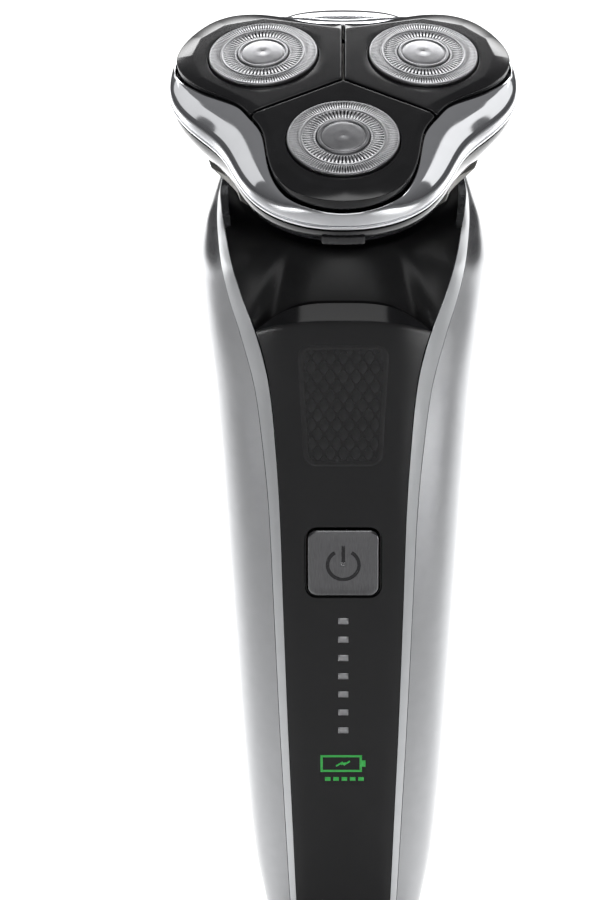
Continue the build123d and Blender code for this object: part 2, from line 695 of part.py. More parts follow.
with BuildPart() as release_button:
    with BuildSketch(HEAD_SIDE.offset(LATCH_BACK)):
        with Locations((0, -LATCH_DEPTH)):
            RectangleRounded(LATCH_WIDE, LATCH_HIGH, 0.6)
    extrude(amount=LATCH_FACE - LATCH_BACK)
    fillet(release_button.faces().sort_by(Axis(HEAD.origin, HEAD.y_dir))[0].edges(), 0.4)
    with BuildSketch(HEAD_SIDE.offset(LATCH_BACK)):
        with Locations((0, -LATCH_DEPTH)):
            Rectangle(LATCH_WIDE + 1.6, LATCH_HIGH)
    extrude(amount=LATCH_FLANGE)
save(release_button, "release_button")

chamber_room = funnel(CHAMBER_WALL + SEAM)

with BuildPart() as gear_cover:
    with BuildSketch(head_level(FLOOR_TOP + COVER_THICK)):
        Circle(31)
        with Locations(*[lobe_spot(angle) for angle in LOBES.values()]):
            Circle(SPINDLE_R + RUN, mode=Mode.SUBTRACT)
        with Locations((0, -30)):
            Rectangle(LATCH_WIDE + 3, 12.6, mode=Mode.SUBTRACT)
    extrude(amount=COVER_THICK)
    add(chamber_room, mode=Mode.INTERSECT)
save(gear_cover, "gear_cover")

with BuildPart() as gear_plate:
    with BuildSketch(head_level(PLATE_LEVEL + PLATE_DEEP)):
        Circle(31)
        Circle(HUB_R + 0.06, mode=Mode.SUBTRACT)
        with Locations(*[lobe_spot(angle) for angle in LOBES.values()]):
            Circle(SPINDLE_R + 0.05, mode=Mode.SUBTRACT)
    extrude(amount=PLATE_DEEP)
    add(chamber_room, mode=Mode.INTERSECT)
save(gear_plate, "gear_plate")

with BuildPart() as central_gear:
    with BuildSketch(head_level(GEAR_TOP + GEAR_THICK)):
        with BuildLine():
            Polyline(*gear_outline(SUN_TEETH, BACKLASH, LOBES["front"]), close=True)
        make_face()
    extrude(amount=GEAR_THICK)
    with BuildSketch(head_level(HUB_END)):
        Circle(HUB_R)
    extrude(amount=HUB_END - GEAR_TOP - GEAR_THICK)
    with BuildSketch(head_level(HUB_END)):
        RegularPolygon(HEX_R + 0.4, 6)
    extrude(amount=HUB_END - GEAR_TOP - GEAR_THICK - 0.2, mode=Mode.SUBTRACT)
    with BuildSketch(head_level(GEAR_TOP)):
        with PolarLocations(6.4, 6):
            Circle(1.1)
    extrude(amount=-GEAR_THICK, mode=Mode.SUBTRACT)
save(central_gear, "central_gear")

for word, angle in LOBES.items():
    with BuildPart() as driven_gear:
        with BuildSketch(lobe_level(angle, GEAR_TOP + GEAR_THICK)):
            with BuildLine():
                Polyline(*gear_outline(PLANET_TEETH, BACKLASH, 180 + 180 / PLANET_TEETH), close=True)
            make_face()
            Circle(SPINDLE_R, mode=Mode.SUBTRACT)
        extrude(amount=GEAR_THICK)
    save(driven_gear, f"driven_gear_{word}")

    with BuildPart() as spindle:
        with BuildSketch(lobe_level(angle, PLATE_LEVEL + PLATE_DEEP)):
            Circle(SPINDLE_R)
        extrude(amount=PLATE_LEVEL + PLATE_DEEP - SPINDLE_TOP)
        with BuildSketch(lobe_level(angle, SPINDLE_TOP + 1.6)):
            RegularPolygon(SPINDLE_HEX, 6)
        extrude(amount=1.6)
    save(spindle, f"spindle_{word}")


# ---------------------------------------------------------------- cutters, guards and plates

def plate_stack():
    """All three plates before they are split: a straight skirt under a bevelled top."""
    outline = trefoil(*PLATE_OUTLINE)
    room = trefoil(*PLATE_OUTLINE, -1.8)
    with BuildPart() as form:
        with BuildSketch(head_level(SKIRT_FOOT)):
            add(outline)
        extrude(amount=SKIRT_FOOT)
        with BuildSketch(HEAD_SIDE):
            with BuildLine():
                Polyline(
                    (0, 0),
                    (BEVEL_R, 0),
                    (2 * PLATE_OUTLINE[0] - BEVEL_R, -2 * BEVEL_DEPTH),
                    (0, -2 * BEVEL_DEPTH),
                    close=True,
                )
            make_face()
        revolve(axis=HEAD_AXIS, mode=Mode.INTERSECT)
        with BuildSketch(head_level(SKIRT_FOOT)):
            add(room)
        extrude(amount=SKIRT_FOOT - PLATE_TOP - PLATE_THICK, mode=Mode.SUBTRACT)
    return form.part


plates = plate_stack()

for word, angle in LOBES.items():
    reach = 40
    apex = PLATE_SPLIT / 2 / math.sin(math.radians(60)) - RING_CIRCLE
    with BuildPart() as plate:
        add(plates)
        with BuildSketch(lobe_level(angle, SKIRT_FOOT + 1)):
            with BuildLine():
                Polyline(
                    (apex, 0),
                    (apex + reach / 2, reach * math.sin(math.radians(60))),
                    (apex + 1.2 * reach, 0),
                    (apex + reach / 2, -reach * math.sin(math.radians(60))),
                    close=True,
                )
            make_face()
        extrude(amount=12, mode=Mode.INTERSECT)
        with BuildSketch(lobe_level(angle, PLATE_TOP, LEAN)):
            Rectangle(90, 90)
        extrude(amount=8, mode=Mode.SUBTRACT)
        with BuildSketch(lobe_level(angle, 8, LEAN)):
            Circle(GUARD_R + SEAM)
        extrude(amount=12, mode=Mode.SUBTRACT)
        level = lobe_level(angle, PIVOT_DEPTH)
        pivot = level.origin + level.x_dir * (PIVOT_R - RING_CIRCLE)
        for side in (-1, 1):
            with BuildSketch(Plane(origin=pivot, x_dir=level.x_dir, z_dir=level.y_dir * side).offset(STUB_IN)):
                Circle(STUB_R)
            extrude(amount=STUB_LONG)
    save(plate, f"plate_{word}")

    with BuildPart() as guard:
        with BuildSketch(lobe_level(angle, GUARD_TOP_THICK, LEAN)):
            Circle(GUARD_R)
            Circle(CAP_R, mode=Mode.SUBTRACT)
            with PolarLocations(8.15, OUTER_SLOTS):
                Rectangle(1.7, SLOT_WIDE, mode=Mode.SUBTRACT)
            with PolarLocations(5.75, INNER_SLOTS):
                Rectangle(1.7, SLOT_WIDE, mode=Mode.SUBTRACT)
        extrude(amount=GUARD_TOP_THICK)
        with BuildSketch(lobe_level(angle, GUARD_FOOT, LEAN)):
            Circle(GUARD_R)
            Circle(GUARD_R - GUARD_WALL, mode=Mode.SUBTRACT)
        extrude(amount=GUARD_FOOT - GUARD_TOP_THICK)
    save(guard, f"guard_{word}")

    with BuildPart() as guard_cap:
        with BuildSketch(lobe_level(angle, GUARD_TOP_THICK + 0.3, LEAN)):
            Circle(CAP_R - SEAM / 2)
        extrude(amount=GUARD_TOP_THICK + 0.3 + CAP_PROUD)
        top = guard_cap.faces().sort_by(HEAD_AXIS)[-1]
        fillet(top.edges(), 0.35)
    save(guard_cap, f"guard_cap_{word}")

    with BuildPart() as cutter:
        with BuildSketch(lobe_level(angle, 3.2, LEAN)):
            Circle(CUTTER_R)
            with PolarLocations(6.0, 6):
                Circle(1.1, mode=Mode.SUBTRACT)
        extrude(amount=0.8)
        with BuildSketch(lobe_level(angle, 3.2, LEAN)):
            with PolarLocations((CUTTER_R + 7.4) / 2, BLADES):
                Rectangle(CUTTER_R - 7.4, 0.5)
            with PolarLocations(5.8, BLADES):
                Rectangle(1.7, 0.5)
        extrude(amount=3.2 - BLADE_TOP)
        with BuildSketch(lobe_level(angle, 6.0, LEAN)):
            Circle(3.3)
        extrude(amount=4.0)
        with BuildSketch(lobe_level(angle, 6.0, LEAN)):
            RegularPolygon(2.6, 6)
        extrude(amount=3.6, mode=Mode.SUBTRACT)
    save(cutter, f"cutter_{word}")


# ---------------------------------------------------------------- bezel, cutter frame, lock knob

bezel_outline = trefoil(*BEZEL_OUTLINE)
frame_room = trefoil(*FRAME_OUTLINE)
plate_room = trefoil(*PLATE_OUTLINE, RUN)
frame_outline = trefoil(*FRAME_OUTLINE, -SEAM)

with BuildPart() as bezel:
    with BuildSketch(head_level(BEZEL_FOOT)):
        add(bezel_outline)
    extrude(amount=BEZEL_FOOT)
    with BuildSketch(HEAD_SIDE):
        with BuildLine():
            Polyline(
                (0, -1.3),
                (17.6, -1.3),
                (21.6, -2.6),
                (32, -4.2),
                (32, -BEZEL_FOOT),
                (0, -BEZEL_FOOT),
                close=True,
            )
        make_face()
    revolve(axis=HEAD_AXIS, mode=Mode.INTERSECT)
    with BuildSketch(head_level(BEZEL_FOOT)):
        add(frame_room)
    extrude(amount=12, mode=Mode.SUBTRACT)
    with BuildSketch(head_level(SKIRT_FOOT + RUN)):
        add(plate_room)
    extrude(amount=12, mode=Mode.SUBTRACT)
    for start in (LUG_X - RUN, -LUG_X - LUG_LONG - RUN):
        with BuildSketch(HEAD_CUT.offset(start)):
            with Locations((HINGE_V, -HINGE_DEPTH)):
                Circle(HINGE_R + RUN)
        extrude(amount=LUG_LONG + 2 * RUN, mode=Mode.SUBTRACT)
    with BuildSketch(HEAD_CUT.offset(-LUG_X + RUN)):
        with Locations((HINGE_V, -HINGE_DEPTH)):
            Circle(HINGE_R)
        with Locations((HINGE_V, -HINGE_DEPTH + 2)):
            Rectangle(2.6, 4)
        with Locations((HINGE_V, -HINGE_DEPTH)):
            Circle(PIN_R + 0.06, mode=Mode.SUBTRACT)
    extrude(amount=2 * (LUG_X - RUN))
    with BuildSketch(head_level(VISOR_FOOT)):
        with Locations((0, 24.6)):
            RectangleRounded(VISOR_WIDE, 7.6, 1.8)
        with Locations(*[lobe_spot(angle, 31) for angle in (30, 150)]):
            Circle(3, mode=Mode.SUBTRACT)
    extrude(amount=VISOR_FOOT - VISOR_TOP)
save(bezel, "bezel")

with BuildPart() as cutter_frame:
    with BuildSketch(head_level(FRAME_TOP + 1.2)):
        add(frame_outline)
        with Locations(*[lobe_spot(angle) for angle in LOBES.values()]):
            Circle(4.3, mode=Mode.SUBTRACT)
        Circle(1.56, mode=Mode.SUBTRACT)
        for angle in LOBES.values():
            with Locations(*[lobe_spot(angle)]):
                with PolarLocations(6.6, 6, angle + 30):
                    Circle(1.5, mode=Mode.SUBTRACT)
    extrude(amount=1.2)
save(cutter_frame, "cutter_frame")

with BuildPart() as lock_knob:
    with BuildSketch(head_level(FRAME_TOP + 1.2 + RUN)):
        Circle(4.6)
    extrude(amount=-1.4)
    with BuildSketch(head_level(FRAME_TOP + 1.2 + RUN)):
        Circle(1.5)
    extrude(amount=1.2 + 2 * RUN)
    with BuildSketch(head_level(FRAME_TOP - RUN)):
        Circle(2.2)
    extrude(amount=0.35)
    with BuildSketch(head_level(FRAME_TOP + 1.2 + RUN + 1.4)):
        Rectangle(6.4, 1.2)
    extrude(amount=0.6, mode=Mode.SUBTRACT)
save(lock_knob, "lock_knob")
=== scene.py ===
import json
import math

import bpy
import bmesh
import numpy as np
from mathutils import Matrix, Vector


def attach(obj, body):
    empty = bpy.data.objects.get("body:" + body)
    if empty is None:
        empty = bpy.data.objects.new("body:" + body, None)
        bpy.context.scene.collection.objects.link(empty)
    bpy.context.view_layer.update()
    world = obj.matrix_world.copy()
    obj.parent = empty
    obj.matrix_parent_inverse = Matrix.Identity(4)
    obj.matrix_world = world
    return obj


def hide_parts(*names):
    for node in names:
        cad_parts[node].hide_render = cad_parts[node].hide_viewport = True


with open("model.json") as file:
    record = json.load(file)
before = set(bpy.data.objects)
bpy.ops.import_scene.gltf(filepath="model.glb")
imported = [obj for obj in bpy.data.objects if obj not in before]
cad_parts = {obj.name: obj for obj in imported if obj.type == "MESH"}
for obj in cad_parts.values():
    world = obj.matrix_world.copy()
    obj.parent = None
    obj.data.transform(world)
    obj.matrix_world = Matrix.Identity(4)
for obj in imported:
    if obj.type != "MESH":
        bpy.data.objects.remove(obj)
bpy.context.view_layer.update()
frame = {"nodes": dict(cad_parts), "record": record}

MM = 0.001
SLOTS = {part["node"]: part["material_slot"] for part in frame["record"]["subparts"]}

# ------------------------------------------------------------ sizes of the form (mm, degrees)

# The head's plane leans forward, and has its own axes: right, backward and out of the plane.
TILT = math.radians(25)
CENTRE = np.array([0.0, -9.0, 165.0])
U = np.array([1.0, 0.0, 0.0])
V = np.array([0.0, math.cos(TILT), math.sin(TILT)])
N = np.array([0.0, -math.sin(TILT), math.cos(TILT)])

# Lobes by their direction in the head's plane, and how far out and at what lean their cutters sit.
LOBES = {"front": 270, "right": 30, "left": 150}
RING_CIRCLE, LEAN = 15.75, math.radians(3.3)

# The handle's section: where its corners start, and its half widths up the height.
CORNER_X, FRONT_Y, BACK_Y = 6.5, -3.3, 5.9
FOOT_Z = 5.0
FOOT_EDGE = FOOT_Z + 0.06
SECTION_Z = [0, 3, 9, 20, 40, 70, 108, 124, 132, 139, 145, 157]
SECTION_HALF = [12, 13.2, 14.4, 16.4, 18.4, 20.5, 22.8, 24.5, 25.0, 23.9, 21.7, 15.6]

# The chrome strips: their inner edge and width by height, and the shoulder's rim round the section.
STRIP_Z = [5, 25, 49, 72, 90, 106, 114, 120, 124]
STRIP_X = [8.4, 9.05, 9.9, 10.55, 11.0, 11.9, 12.65, 13.8, 14.9]
STRIP_WIDTH_Z = [5, 49, 90, 112, 124, 137, 150]
STRIP_WIDTH = [1.45, 1.85, 2.3, 3.1, 3.7, 3.5, 2.6]
RIM_S = [14.02, 15.24, 17.6, 20.3, 22.6, 26, 31, 37.2, 46, 57.5]
RIM_Z = [120, 124, 129.2, 135.8, 141.2, 145.4, 147.4, 148.4, 150.6, 152.6]


def smooth(x, xs, ys):
    """A curve through the points that never overshoots them."""
    xs, ys = np.asarray(xs, float), np.asarray(ys, float)
    steps, rise = np.diff(xs), np.diff(ys) / np.diff(xs)
    slope = np.empty_like(ys)
    slope[0], slope[-1] = rise[0], rise[-1]
    same = rise[:-1] * rise[1:] > 0
    mean = 2 * rise[:-1] * rise[1:] / np.where(same, rise[:-1] + rise[1:], 1)
    slope[1:-1] = np.where(same, mean, 0)
    x = np.clip(np.asarray(x, float), xs[0], xs[-1])
    i = np.clip(np.searchsorted(xs, x, side="right") - 1, 0, len(xs) - 2)
    t, w = (x - xs[i]) / steps[i], steps[i]
    a, b = ys[i], ys[i + 1]
    return (
        a * (1 + 2 * t) * (1 - t) ** 2
        + slope[i] * w * t * (1 - t) ** 2
        + b * t * t * (3 - 2 * t)
        + slope[i + 1] * w * t * t * (t - 1)
    )


def half_width(z):
    """Half the handle's width at a height."""
    return smooth(z, SECTION_Z, SECTION_HALF)


def skin(s, z, out=0.0):
    """A point of the handle's skin: s runs round it from the front centre, + to the right."""
    s, z, out = np.broadcast_arrays(*(np.asarray(v, float) for v in (s, z, out)))
    side, a = np.sign(s), np.abs(s)
    r0 = half_width(z) - CORNER_X
    quarter = r0 * math.pi / 2
    flat = BACK_Y - FRONT_Y
    r = r0 + out
    turn = np.clip((a - CORNER_X) / r0, 0, math.pi / 2)
    x = np.minimum(a, CORNER_X) + r * np.sin(turn)
    y = FRONT_Y - r * np.cos(turn)
    along = np.clip(a - CORNER_X - quarter, 0, flat)
    y = y + along
    turn2 = np.clip((a - CORNER_X - quarter - flat) / r0, 0, math.pi / 2)
    x = x - r * (1 - np.cos(turn2))
    y = y + r * np.sin(turn2)
    x = x - np.clip(a - CORNER_X - 2 * quarter - flat, 0, CORNER_X)
    return np.stack([side * x, y, z], -1)


def s_of_x(x, z):
    """Where a width seen from the front lies round the section."""
    r0 = half_width(z) - CORNER_X
    bend = np.clip((np.abs(x) - CORNER_X) / r0, 0, 0.999)
    return np.where(np.abs(x) <= CORNER_X, np.abs(x), CORNER_X + r0 * np.arcsin(bend))


def s_split(z):
    """Where the side panels meet the rear shell."""
    r0 = half_width(z) - CORNER_X
    return CORNER_X + r0 * math.pi / 2 + (BACK_Y - FRONT_Y) + 0.1


def s_back(z):
    """The way round the section from the front centre to the back centre."""
    r0 = half_width(z) - CORNER_X
    return 2 * CORNER_X + r0 * math.pi + (BACK_Y - FRONT_Y)


def rim_height(s):
    """Height of the shoulder's rim round the section, from the strips to the back."""
    return smooth(s, RIM_S, RIM_Z)


def head(u, v, h):
    """A point in the leaning head's frame: u to the right, v backward, h deep below its plane."""
    u, v, h = np.broadcast_arrays(np.asarray(u, float), np.asarray(v, float), np.asarray(h, float))
    return CENTRE + u[..., None] * U + v[..., None] * V - h[..., None] * N


def lobe_point(word, a, b, w):
    """A point in a cutter's own frame: a outward, b across, w up along its leaning axis."""
    a, b, w = np.broadcast_arrays(np.asarray(a, float), np.asarray(b, float), np.asarray(w, float))
    angle = math.radians(LOBES[word])
    away = math.cos(angle) * U + math.sin(angle) * V
    side = np.cross(N, away)
    axis = away * math.sin(LEAN) + N * math.cos(LEAN)
    outward = np.cross(side, axis)
    spot = CENTRE + RING_CIRCLE * away
    return spot + a[..., None] * outward + b[..., None] * side + w[..., None] * axis


# ------------------------------------------------------------ mesh helpers

def make_object(name, points, faces, edge=0.0, angle=35):
    """A closed mesh in metres, with rounded edges where asked."""
    mesh = bpy.data.meshes.new(name)
    corners = [list(map(int, f)) for f in faces]
    mesh.from_pydata((np.asarray(points, float) * MM).tolist(), [], corners)
    mesh.validate()
    work = bmesh.new()
    work.from_mesh(mesh)
    bmesh.ops.remove_doubles(work, verts=work.verts, dist=2e-7)
    bmesh.ops.recalc_face_normals(work, faces=work.faces)
    work.to_mesh(mesh)
    work.free()
    mesh.polygons.foreach_set("use_smooth", [True] * len(mesh.polygons))
    obj = bpy.data.objects.new(name, mesh)
    bpy.context.scene.collection.objects.link(obj)
    if edge:
        bevel = obj.modifiers.new("edge", "BEVEL")
        bevel.width = edge * MM
        bevel.segments = 2
        bevel.limit_method = "ANGLE"
        bevel.angle_limit = math.radians(angle)
        bevel.harden_normals = True
        bevel.use_clamp_overlap = True
    return obj


def grid_faces(rows, cols, wrap_rows=False, wrap_cols=False, skip=None, start=0):
    """Four-cornered faces of a grid of points, numbered row by row."""
    faces = []
    for i in range(rows if wrap_rows else rows - 1):
        for j in range(cols if wrap_cols else cols - 1):
            if skip is not None and skip(i, j):
                continue
            k, m = (i + 1) % rows, (j + 1) % cols
            ring = (i * cols + j, i * cols + m, k * cols + m, k * cols + j)
            faces.append([start + q for q in ring])
    return faces


def shell(top, low, faces):
    """Closes a sheet into a solid: the same faces below, and walls along every free edge."""
    count = len(top)
    edges = {}
    for f in faces:
        for a, b in zip(f, f[1:] + f[:1]):
            edges[(a, b)] = 1
    walls = [[b, a, a + count, b + count] for (a, b) in edges if (b, a) not in edges]
    under = [[i + count for i in reversed(f)] for f in faces]
    return np.concatenate([top, low]), faces + under + walls


def joined(*parts):
    """Several point and face lists as one."""
    points, faces, start = [], [], 0
    for p, f in parts:
        points.append(np.asarray(p, float).reshape(-1, 3))
        faces += [[i + start for i in face] for face in f]
        start += len(points[-1])
    return np.concatenate(points), faces


def sheet_solid(top, low, wrap=False, skip=None):
    """A solid between two grids of the same shape (rows, columns, 3)."""
    rows, cols = top.shape[:2]
    faces = grid_faces(rows, cols, wrap_cols=wrap, skip=skip)
    return shell(top.reshape(-1, 3), low.reshape(-1, 3), faces)


def softened(loop, radius, steps):
    """Rounds every corner of closed profiles (corners, columns, 3)."""
    before, after = np.roll(loop, 1, 0), np.roll(loop, -1, 0)
    rows = []
    for i in range(len(loop)):
        p = loop[i]
        r = radius[i] if isinstance(radius, (list, tuple)) else radius
        to_a, to_b = before[i] - p, after[i] - p
        la = np.linalg.norm(to_a, axis=-1, keepdims=True) + 1e-9
        lb = np.linalg.norm(to_b, axis=-1, keepdims=True) + 1e-9
        a = p + to_a * np.minimum(r / la, 0.45)
        b = p + to_b * np.minimum(r / lb, 0.45)
        for t in np.linspace(0, 1, steps + 1):
            rows.append((1 - t) ** 2 * a + 2 * t * (1 - t) * p + t * t * b)
    return np.stack(rows)


def ring_solid(loop):
    """A closed profile carried round a closed path."""
    rows, cols = loop.shape[:2]
    return loop.reshape(-1, 3), grid_faces(rows, cols, wrap_rows=True, wrap_cols=True)


def bar_solid(loop):
    """A closed profile (rows) carried along an open path (columns), with flat ends."""
    rows, cols = loop.shape[:2]
    faces = grid_faces(rows, cols, wrap_rows=True)
    faces.append([i * cols for i in range(rows)])
    faces.append([i * cols + cols - 1 for i in reversed(range(rows))])
    return loop.reshape(-1, 3), faces


def turned(word, profile, radius, cols, steps):
    """A ring or disc turned about a cutter's axis from a closed (r, w) profile."""
    angle = np.linspace(0, 2 * math.pi, cols, endpoint=False)
    corners = np.array(profile, float)
    r, w = corners[:, :1], corners[:, 1:]
    loop = lobe_point(word, r * np.cos(angle), r * np.sin(angle), w + 0 * angle)
    return ring_solid(softened(loop, radius, steps))


# ------------------------------------------------------------ materials

def material(name, color, rough, metallic=0.0, coat=0.0, vary=0.12, scale=900, bump=0.0,
             bump_scale=4000, spread=0.04, stretch=(1, 1, 1), glow=None):
    """A plastic or metal whose colour, gloss and surface vary a little, by noise on the object."""
    mat = bpy.data.materials.new(name)
    mat.use_nodes = True
    nodes, links = mat.node_tree.nodes, mat.node_tree.links
    shader = nodes["Principled BSDF"]
    shader.inputs["Metallic"].default_value = metallic
    shader.inputs["Coat Weight"].default_value = coat
    shader.inputs["Coat Roughness"].default_value = 0.04
    place = nodes.new("ShaderNodeTexCoord")
    mapping = nodes.new("ShaderNodeMapping")
    mapping.inputs["Scale"].default_value = stretch
    links.new(place.outputs["Object"], mapping.inputs["Vector"])
    noise = nodes.new("ShaderNodeTexNoise")
    noise.inputs["Scale"].default_value = scale
    noise.inputs["Detail"].default_value = 3
    links.new(mapping.outputs["Vector"], noise.inputs["Vector"])
    ramp = nodes.new("ShaderNodeValToRGB")
    ramp.color_ramp.elements[0].position = 0.3
    ramp.color_ramp.elements[1].position = 0.7
    ramp.color_ramp.elements[0].color = (*[c * (1 - vary) for c in color], 1)
    ramp.color_ramp.elements[1].color = (*[min(1, c * (1 + vary)) for c in color], 1)
    links.new(noise.outputs["Fac"], ramp.inputs["Fac"])
    links.new(ramp.outputs["Color"], shader.inputs["Base Color"])
    gloss = nodes.new("ShaderNodeMapRange")
    gloss.inputs["To Min"].default_value = max(0.02, rough - spread)
    gloss.inputs["To Max"].default_value = rough + spread
    links.new(noise.outputs["Fac"], gloss.inputs["Value"])
    links.new(gloss.outputs["Result"], shader.inputs["Roughness"])
    if bump:
        fine = nodes.new("ShaderNodeTexNoise")
        fine.inputs["Scale"].default_value = bump_scale
        fine.inputs["Detail"].default_value = 2
        links.new(mapping.outputs["Vector"], fine.inputs["Vector"])
        relief = nodes.new("ShaderNodeBump")
        relief.inputs["Strength"].default_value = bump
        relief.inputs["Distance"].default_value = 0.0001
        links.new(fine.outputs["Fac"], relief.inputs["Height"])
        links.new(relief.outputs["Normal"], shader.inputs["Normal"])
    if glow:
        shader.inputs["Emission Color"].default_value = (*glow[:3], 1)
        shader.inputs["Emission Strength"].default_value = glow[3]
    return mat


MATERIALS = {
    name: material(name, color, **look) for name, color, look in (
        ("black_gloss", (0.008, 0.008, 0.009), dict(rough=0.16, scale=300, spread=0.02, vary=0.2)),
        ("shoulder_black", (0.008, 0.008, 0.009),
         dict(rough=0.3, scale=300, spread=0.02, vary=0.2)),
        ("black_satin", (0.012, 0.012, 0.013), dict(rough=0.42, bump=0.25, bump_scale=6000)),
        ("chrome", (0.80, 0.81, 0.83),
         dict(metallic=1, rough=0.09, scale=400, spread=0.015, vary=0.02)),
        # A copy of the chrome with its colour darkened: painted shade, standing in for the dark
        # reflections on the strips.
        ("chrome_painted_shade", (0.50, 0.51, 0.52),
         dict(metallic=1, rough=0.09, scale=400, spread=0.015, vary=0.02)),
        ("silver_plastic", (0.44, 0.445, 0.455),
         dict(metallic=1, rough=0.2, scale=500, spread=0.02, vary=0.03, bump=0.04,
              bump_scale=9000)),
        ("grip_rubber", (0.011, 0.011, 0.012), dict(rough=0.5, bump=0.5, bump_scale=5000)),
        ("smoked_window", (0.004, 0.004, 0.005), dict(rough=0.08, scale=300, spread=0.02)),
        ("green_light", (0.02, 0.3, 0.06), dict(rough=0.4, glow=(0.05, 0.42, 0.07, 0.45))),
        ("board_green", (0.02, 0.16, 0.06), dict(rough=0.4, scale=1500, vary=0.3)),
        ("inner_plastic", (0.5, 0.49, 0.46), dict(rough=0.5, bump=0.2)),
        ("battery_steel", (0.10, 0.22, 0.45), dict(rough=0.35, coat=0.3, vary=0.08)),
        ("nickel", (0.62, 0.60, 0.56), dict(metallic=1, rough=0.25, vary=0.06)),
        ("motor_steel", (0.5, 0.5, 0.5),
         dict(metallic=1, rough=0.3, stretch=(1, 1, 12), vary=0.1)),
        ("button_metal", (0.20, 0.20, 0.205),
         dict(metallic=1, rough=0.22, stretch=(12, 1, 1), scale=700, vary=0.14, bump=0.05)),
        ("chamber_plastic", (0.016, 0.016, 0.018), dict(rough=0.16, coat=0.2, scale=300)),
        ("seal_rubber", (0.008, 0.008, 0.008), dict(rough=0.45, bump=0.15)),
        ("gear_plastic", (0.72, 0.71, 0.66), dict(rough=0.4, bump=0.1)),
        ("shaving_steel", (0.4, 0.4, 0.41), dict(metallic=1, rough=0.36, scale=1200, vary=0.08)),
        ("cap_metal", (0.3, 0.3, 0.31), dict(metallic=1, rough=0.34, scale=500, vary=0.12)),
        ("print_silver", (0.42, 0.42, 0.43),
         dict(metallic=0.6, rough=0.35, scale=1500, vary=0.08)),
    )
}

for node, obj in frame["nodes"].items():
    obj.data.materials.clear()
    obj.data.materials.append(MATERIALS[SLOTS[node]])


def piece(name, solid, body, node, slot=None, look=None, edge=0.0, angle=35, replaces=()):
    """One visible piece: it rides on its body and stands for its CAD nodes."""
    points, faces = solid
    obj = make_object(name, points, faces, edge, angle)
    slot = slot or SLOTS[node]
    obj.data.materials.append(MATERIALS[look or slot])
    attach(obj, body)
    for old in replaces:
        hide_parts(old)
    return obj


# ------------------------------------------------------------ front panel

GAP = 0.09
BUTTON_Z, BUTTON_HALF, BUTTON_CORNER = 81.8, 6.2, 1.7
PANEL_OPEN = BUTTON_HALF + 0.55
ARCH_X, ARCH_FOOT, ARCH_LOW, ARCH_CREST = 15.0, 124.0, 126.4, 129.4
PANEL_BEVEL, PANEL_THICK = 1.15, 1.5


def strip_x(z):
    """Half the panel's width, up to the strips, at a height."""
    return smooth(z, STRIP_Z, STRIP_X)


def arch(x, crest):
    """Height of the panel's arched top edge."""
    return ARCH_FOOT + (crest - ARCH_FOOT) * (1 - np.clip(np.abs(x) / ARCH_X, 0, 1) ** 3.3)


def front(x, z, out=0.0):
    """The skin at a width and height seen from the front."""
    return skin(np.sign(x) * s_of_x(x, z), z, out)


def panel_fall(x, z):
    """How far the panel's top bevel has dropped at a point."""
    low, high = arch(x, ARCH_LOW), arch(x, ARCH_CREST)
    share = np.clip((z - low) / np.maximum(high - low, 0.05), 0, 1)
    return -PANEL_BEVEL * share * (high - low) / (ARCH_CREST - ARCH_LOW)


def rounded_square(n_side, half, corner):
    """Points round a rounded square, starting mid-bottom, n_side to a side."""
    t = np.linspace(0, 1, 4 * n_side, endpoint=False) * 2 * math.pi - math.pi / 2
    c, s = np.cos(t), np.sin(t)
    power = 2 / 7.5
    x, y = np.sign(c) * np.abs(c) ** power, np.sign(s) * np.abs(s) ** power
    flat = half - corner
    x, y = half * x, half * y
    over_x, over_y = np.abs(x) - flat, np.abs(y) - flat
    both = (over_x > 0) & (over_y > 0)
    size = np.where(both, np.hypot(over_x, over_y), 1)
    x = np.where(both, np.sign(x) * (flat + corner * over_x / size), x)
    y = np.where(both, np.sign(y) * (flat + corner * over_y / size), y)
    edge = np.maximum(np.abs(x), np.abs(y))
    grow = np.where(both, 1, half / edge)
    return x * grow, y * grow


def panel_rows(z_low, z_high, count, cols):
    """Widths and heights of a band of the panel."""
    t = np.linspace(-1, 1, cols)
    z = np.linspace(z_low, z_high, count)[:, None]
    return t * (strip_x(z) - GAP), z + 0 * t


COLS = 41
BAND_LOW, BAND_HIGH = BUTTON_Z - 9, BUTTON_Z + 9
low_x, low_z = panel_rows(FOOT_EDGE, BAND_LOW, 56, COLS)
mid_x, mid_z = panel_rows(BAND_LOW, BAND_HIGH, 21, COLS)
t_cols = np.linspace(-1, 1, COLS)
high_rows = np.linspace(0, 1, 36)[:, None]
high_x = t_cols * (strip_x(np.linspace(BAND_HIGH, ARCH_FOOT, 36))[:, None] - GAP)
high_z = BAND_HIGH + (arch(high_x, ARCH_LOW) - BAND_HIGH) * high_rows
top_x = np.repeat(high_x[-1:], 6, 0)
top_t = np.linspace(0, 1, 6)[:, None]
top_z = arch(top_x, ARCH_LOW) + (arch(top_x, ARCH_CREST) - arch(top_x, ARCH_LOW)) * top_t

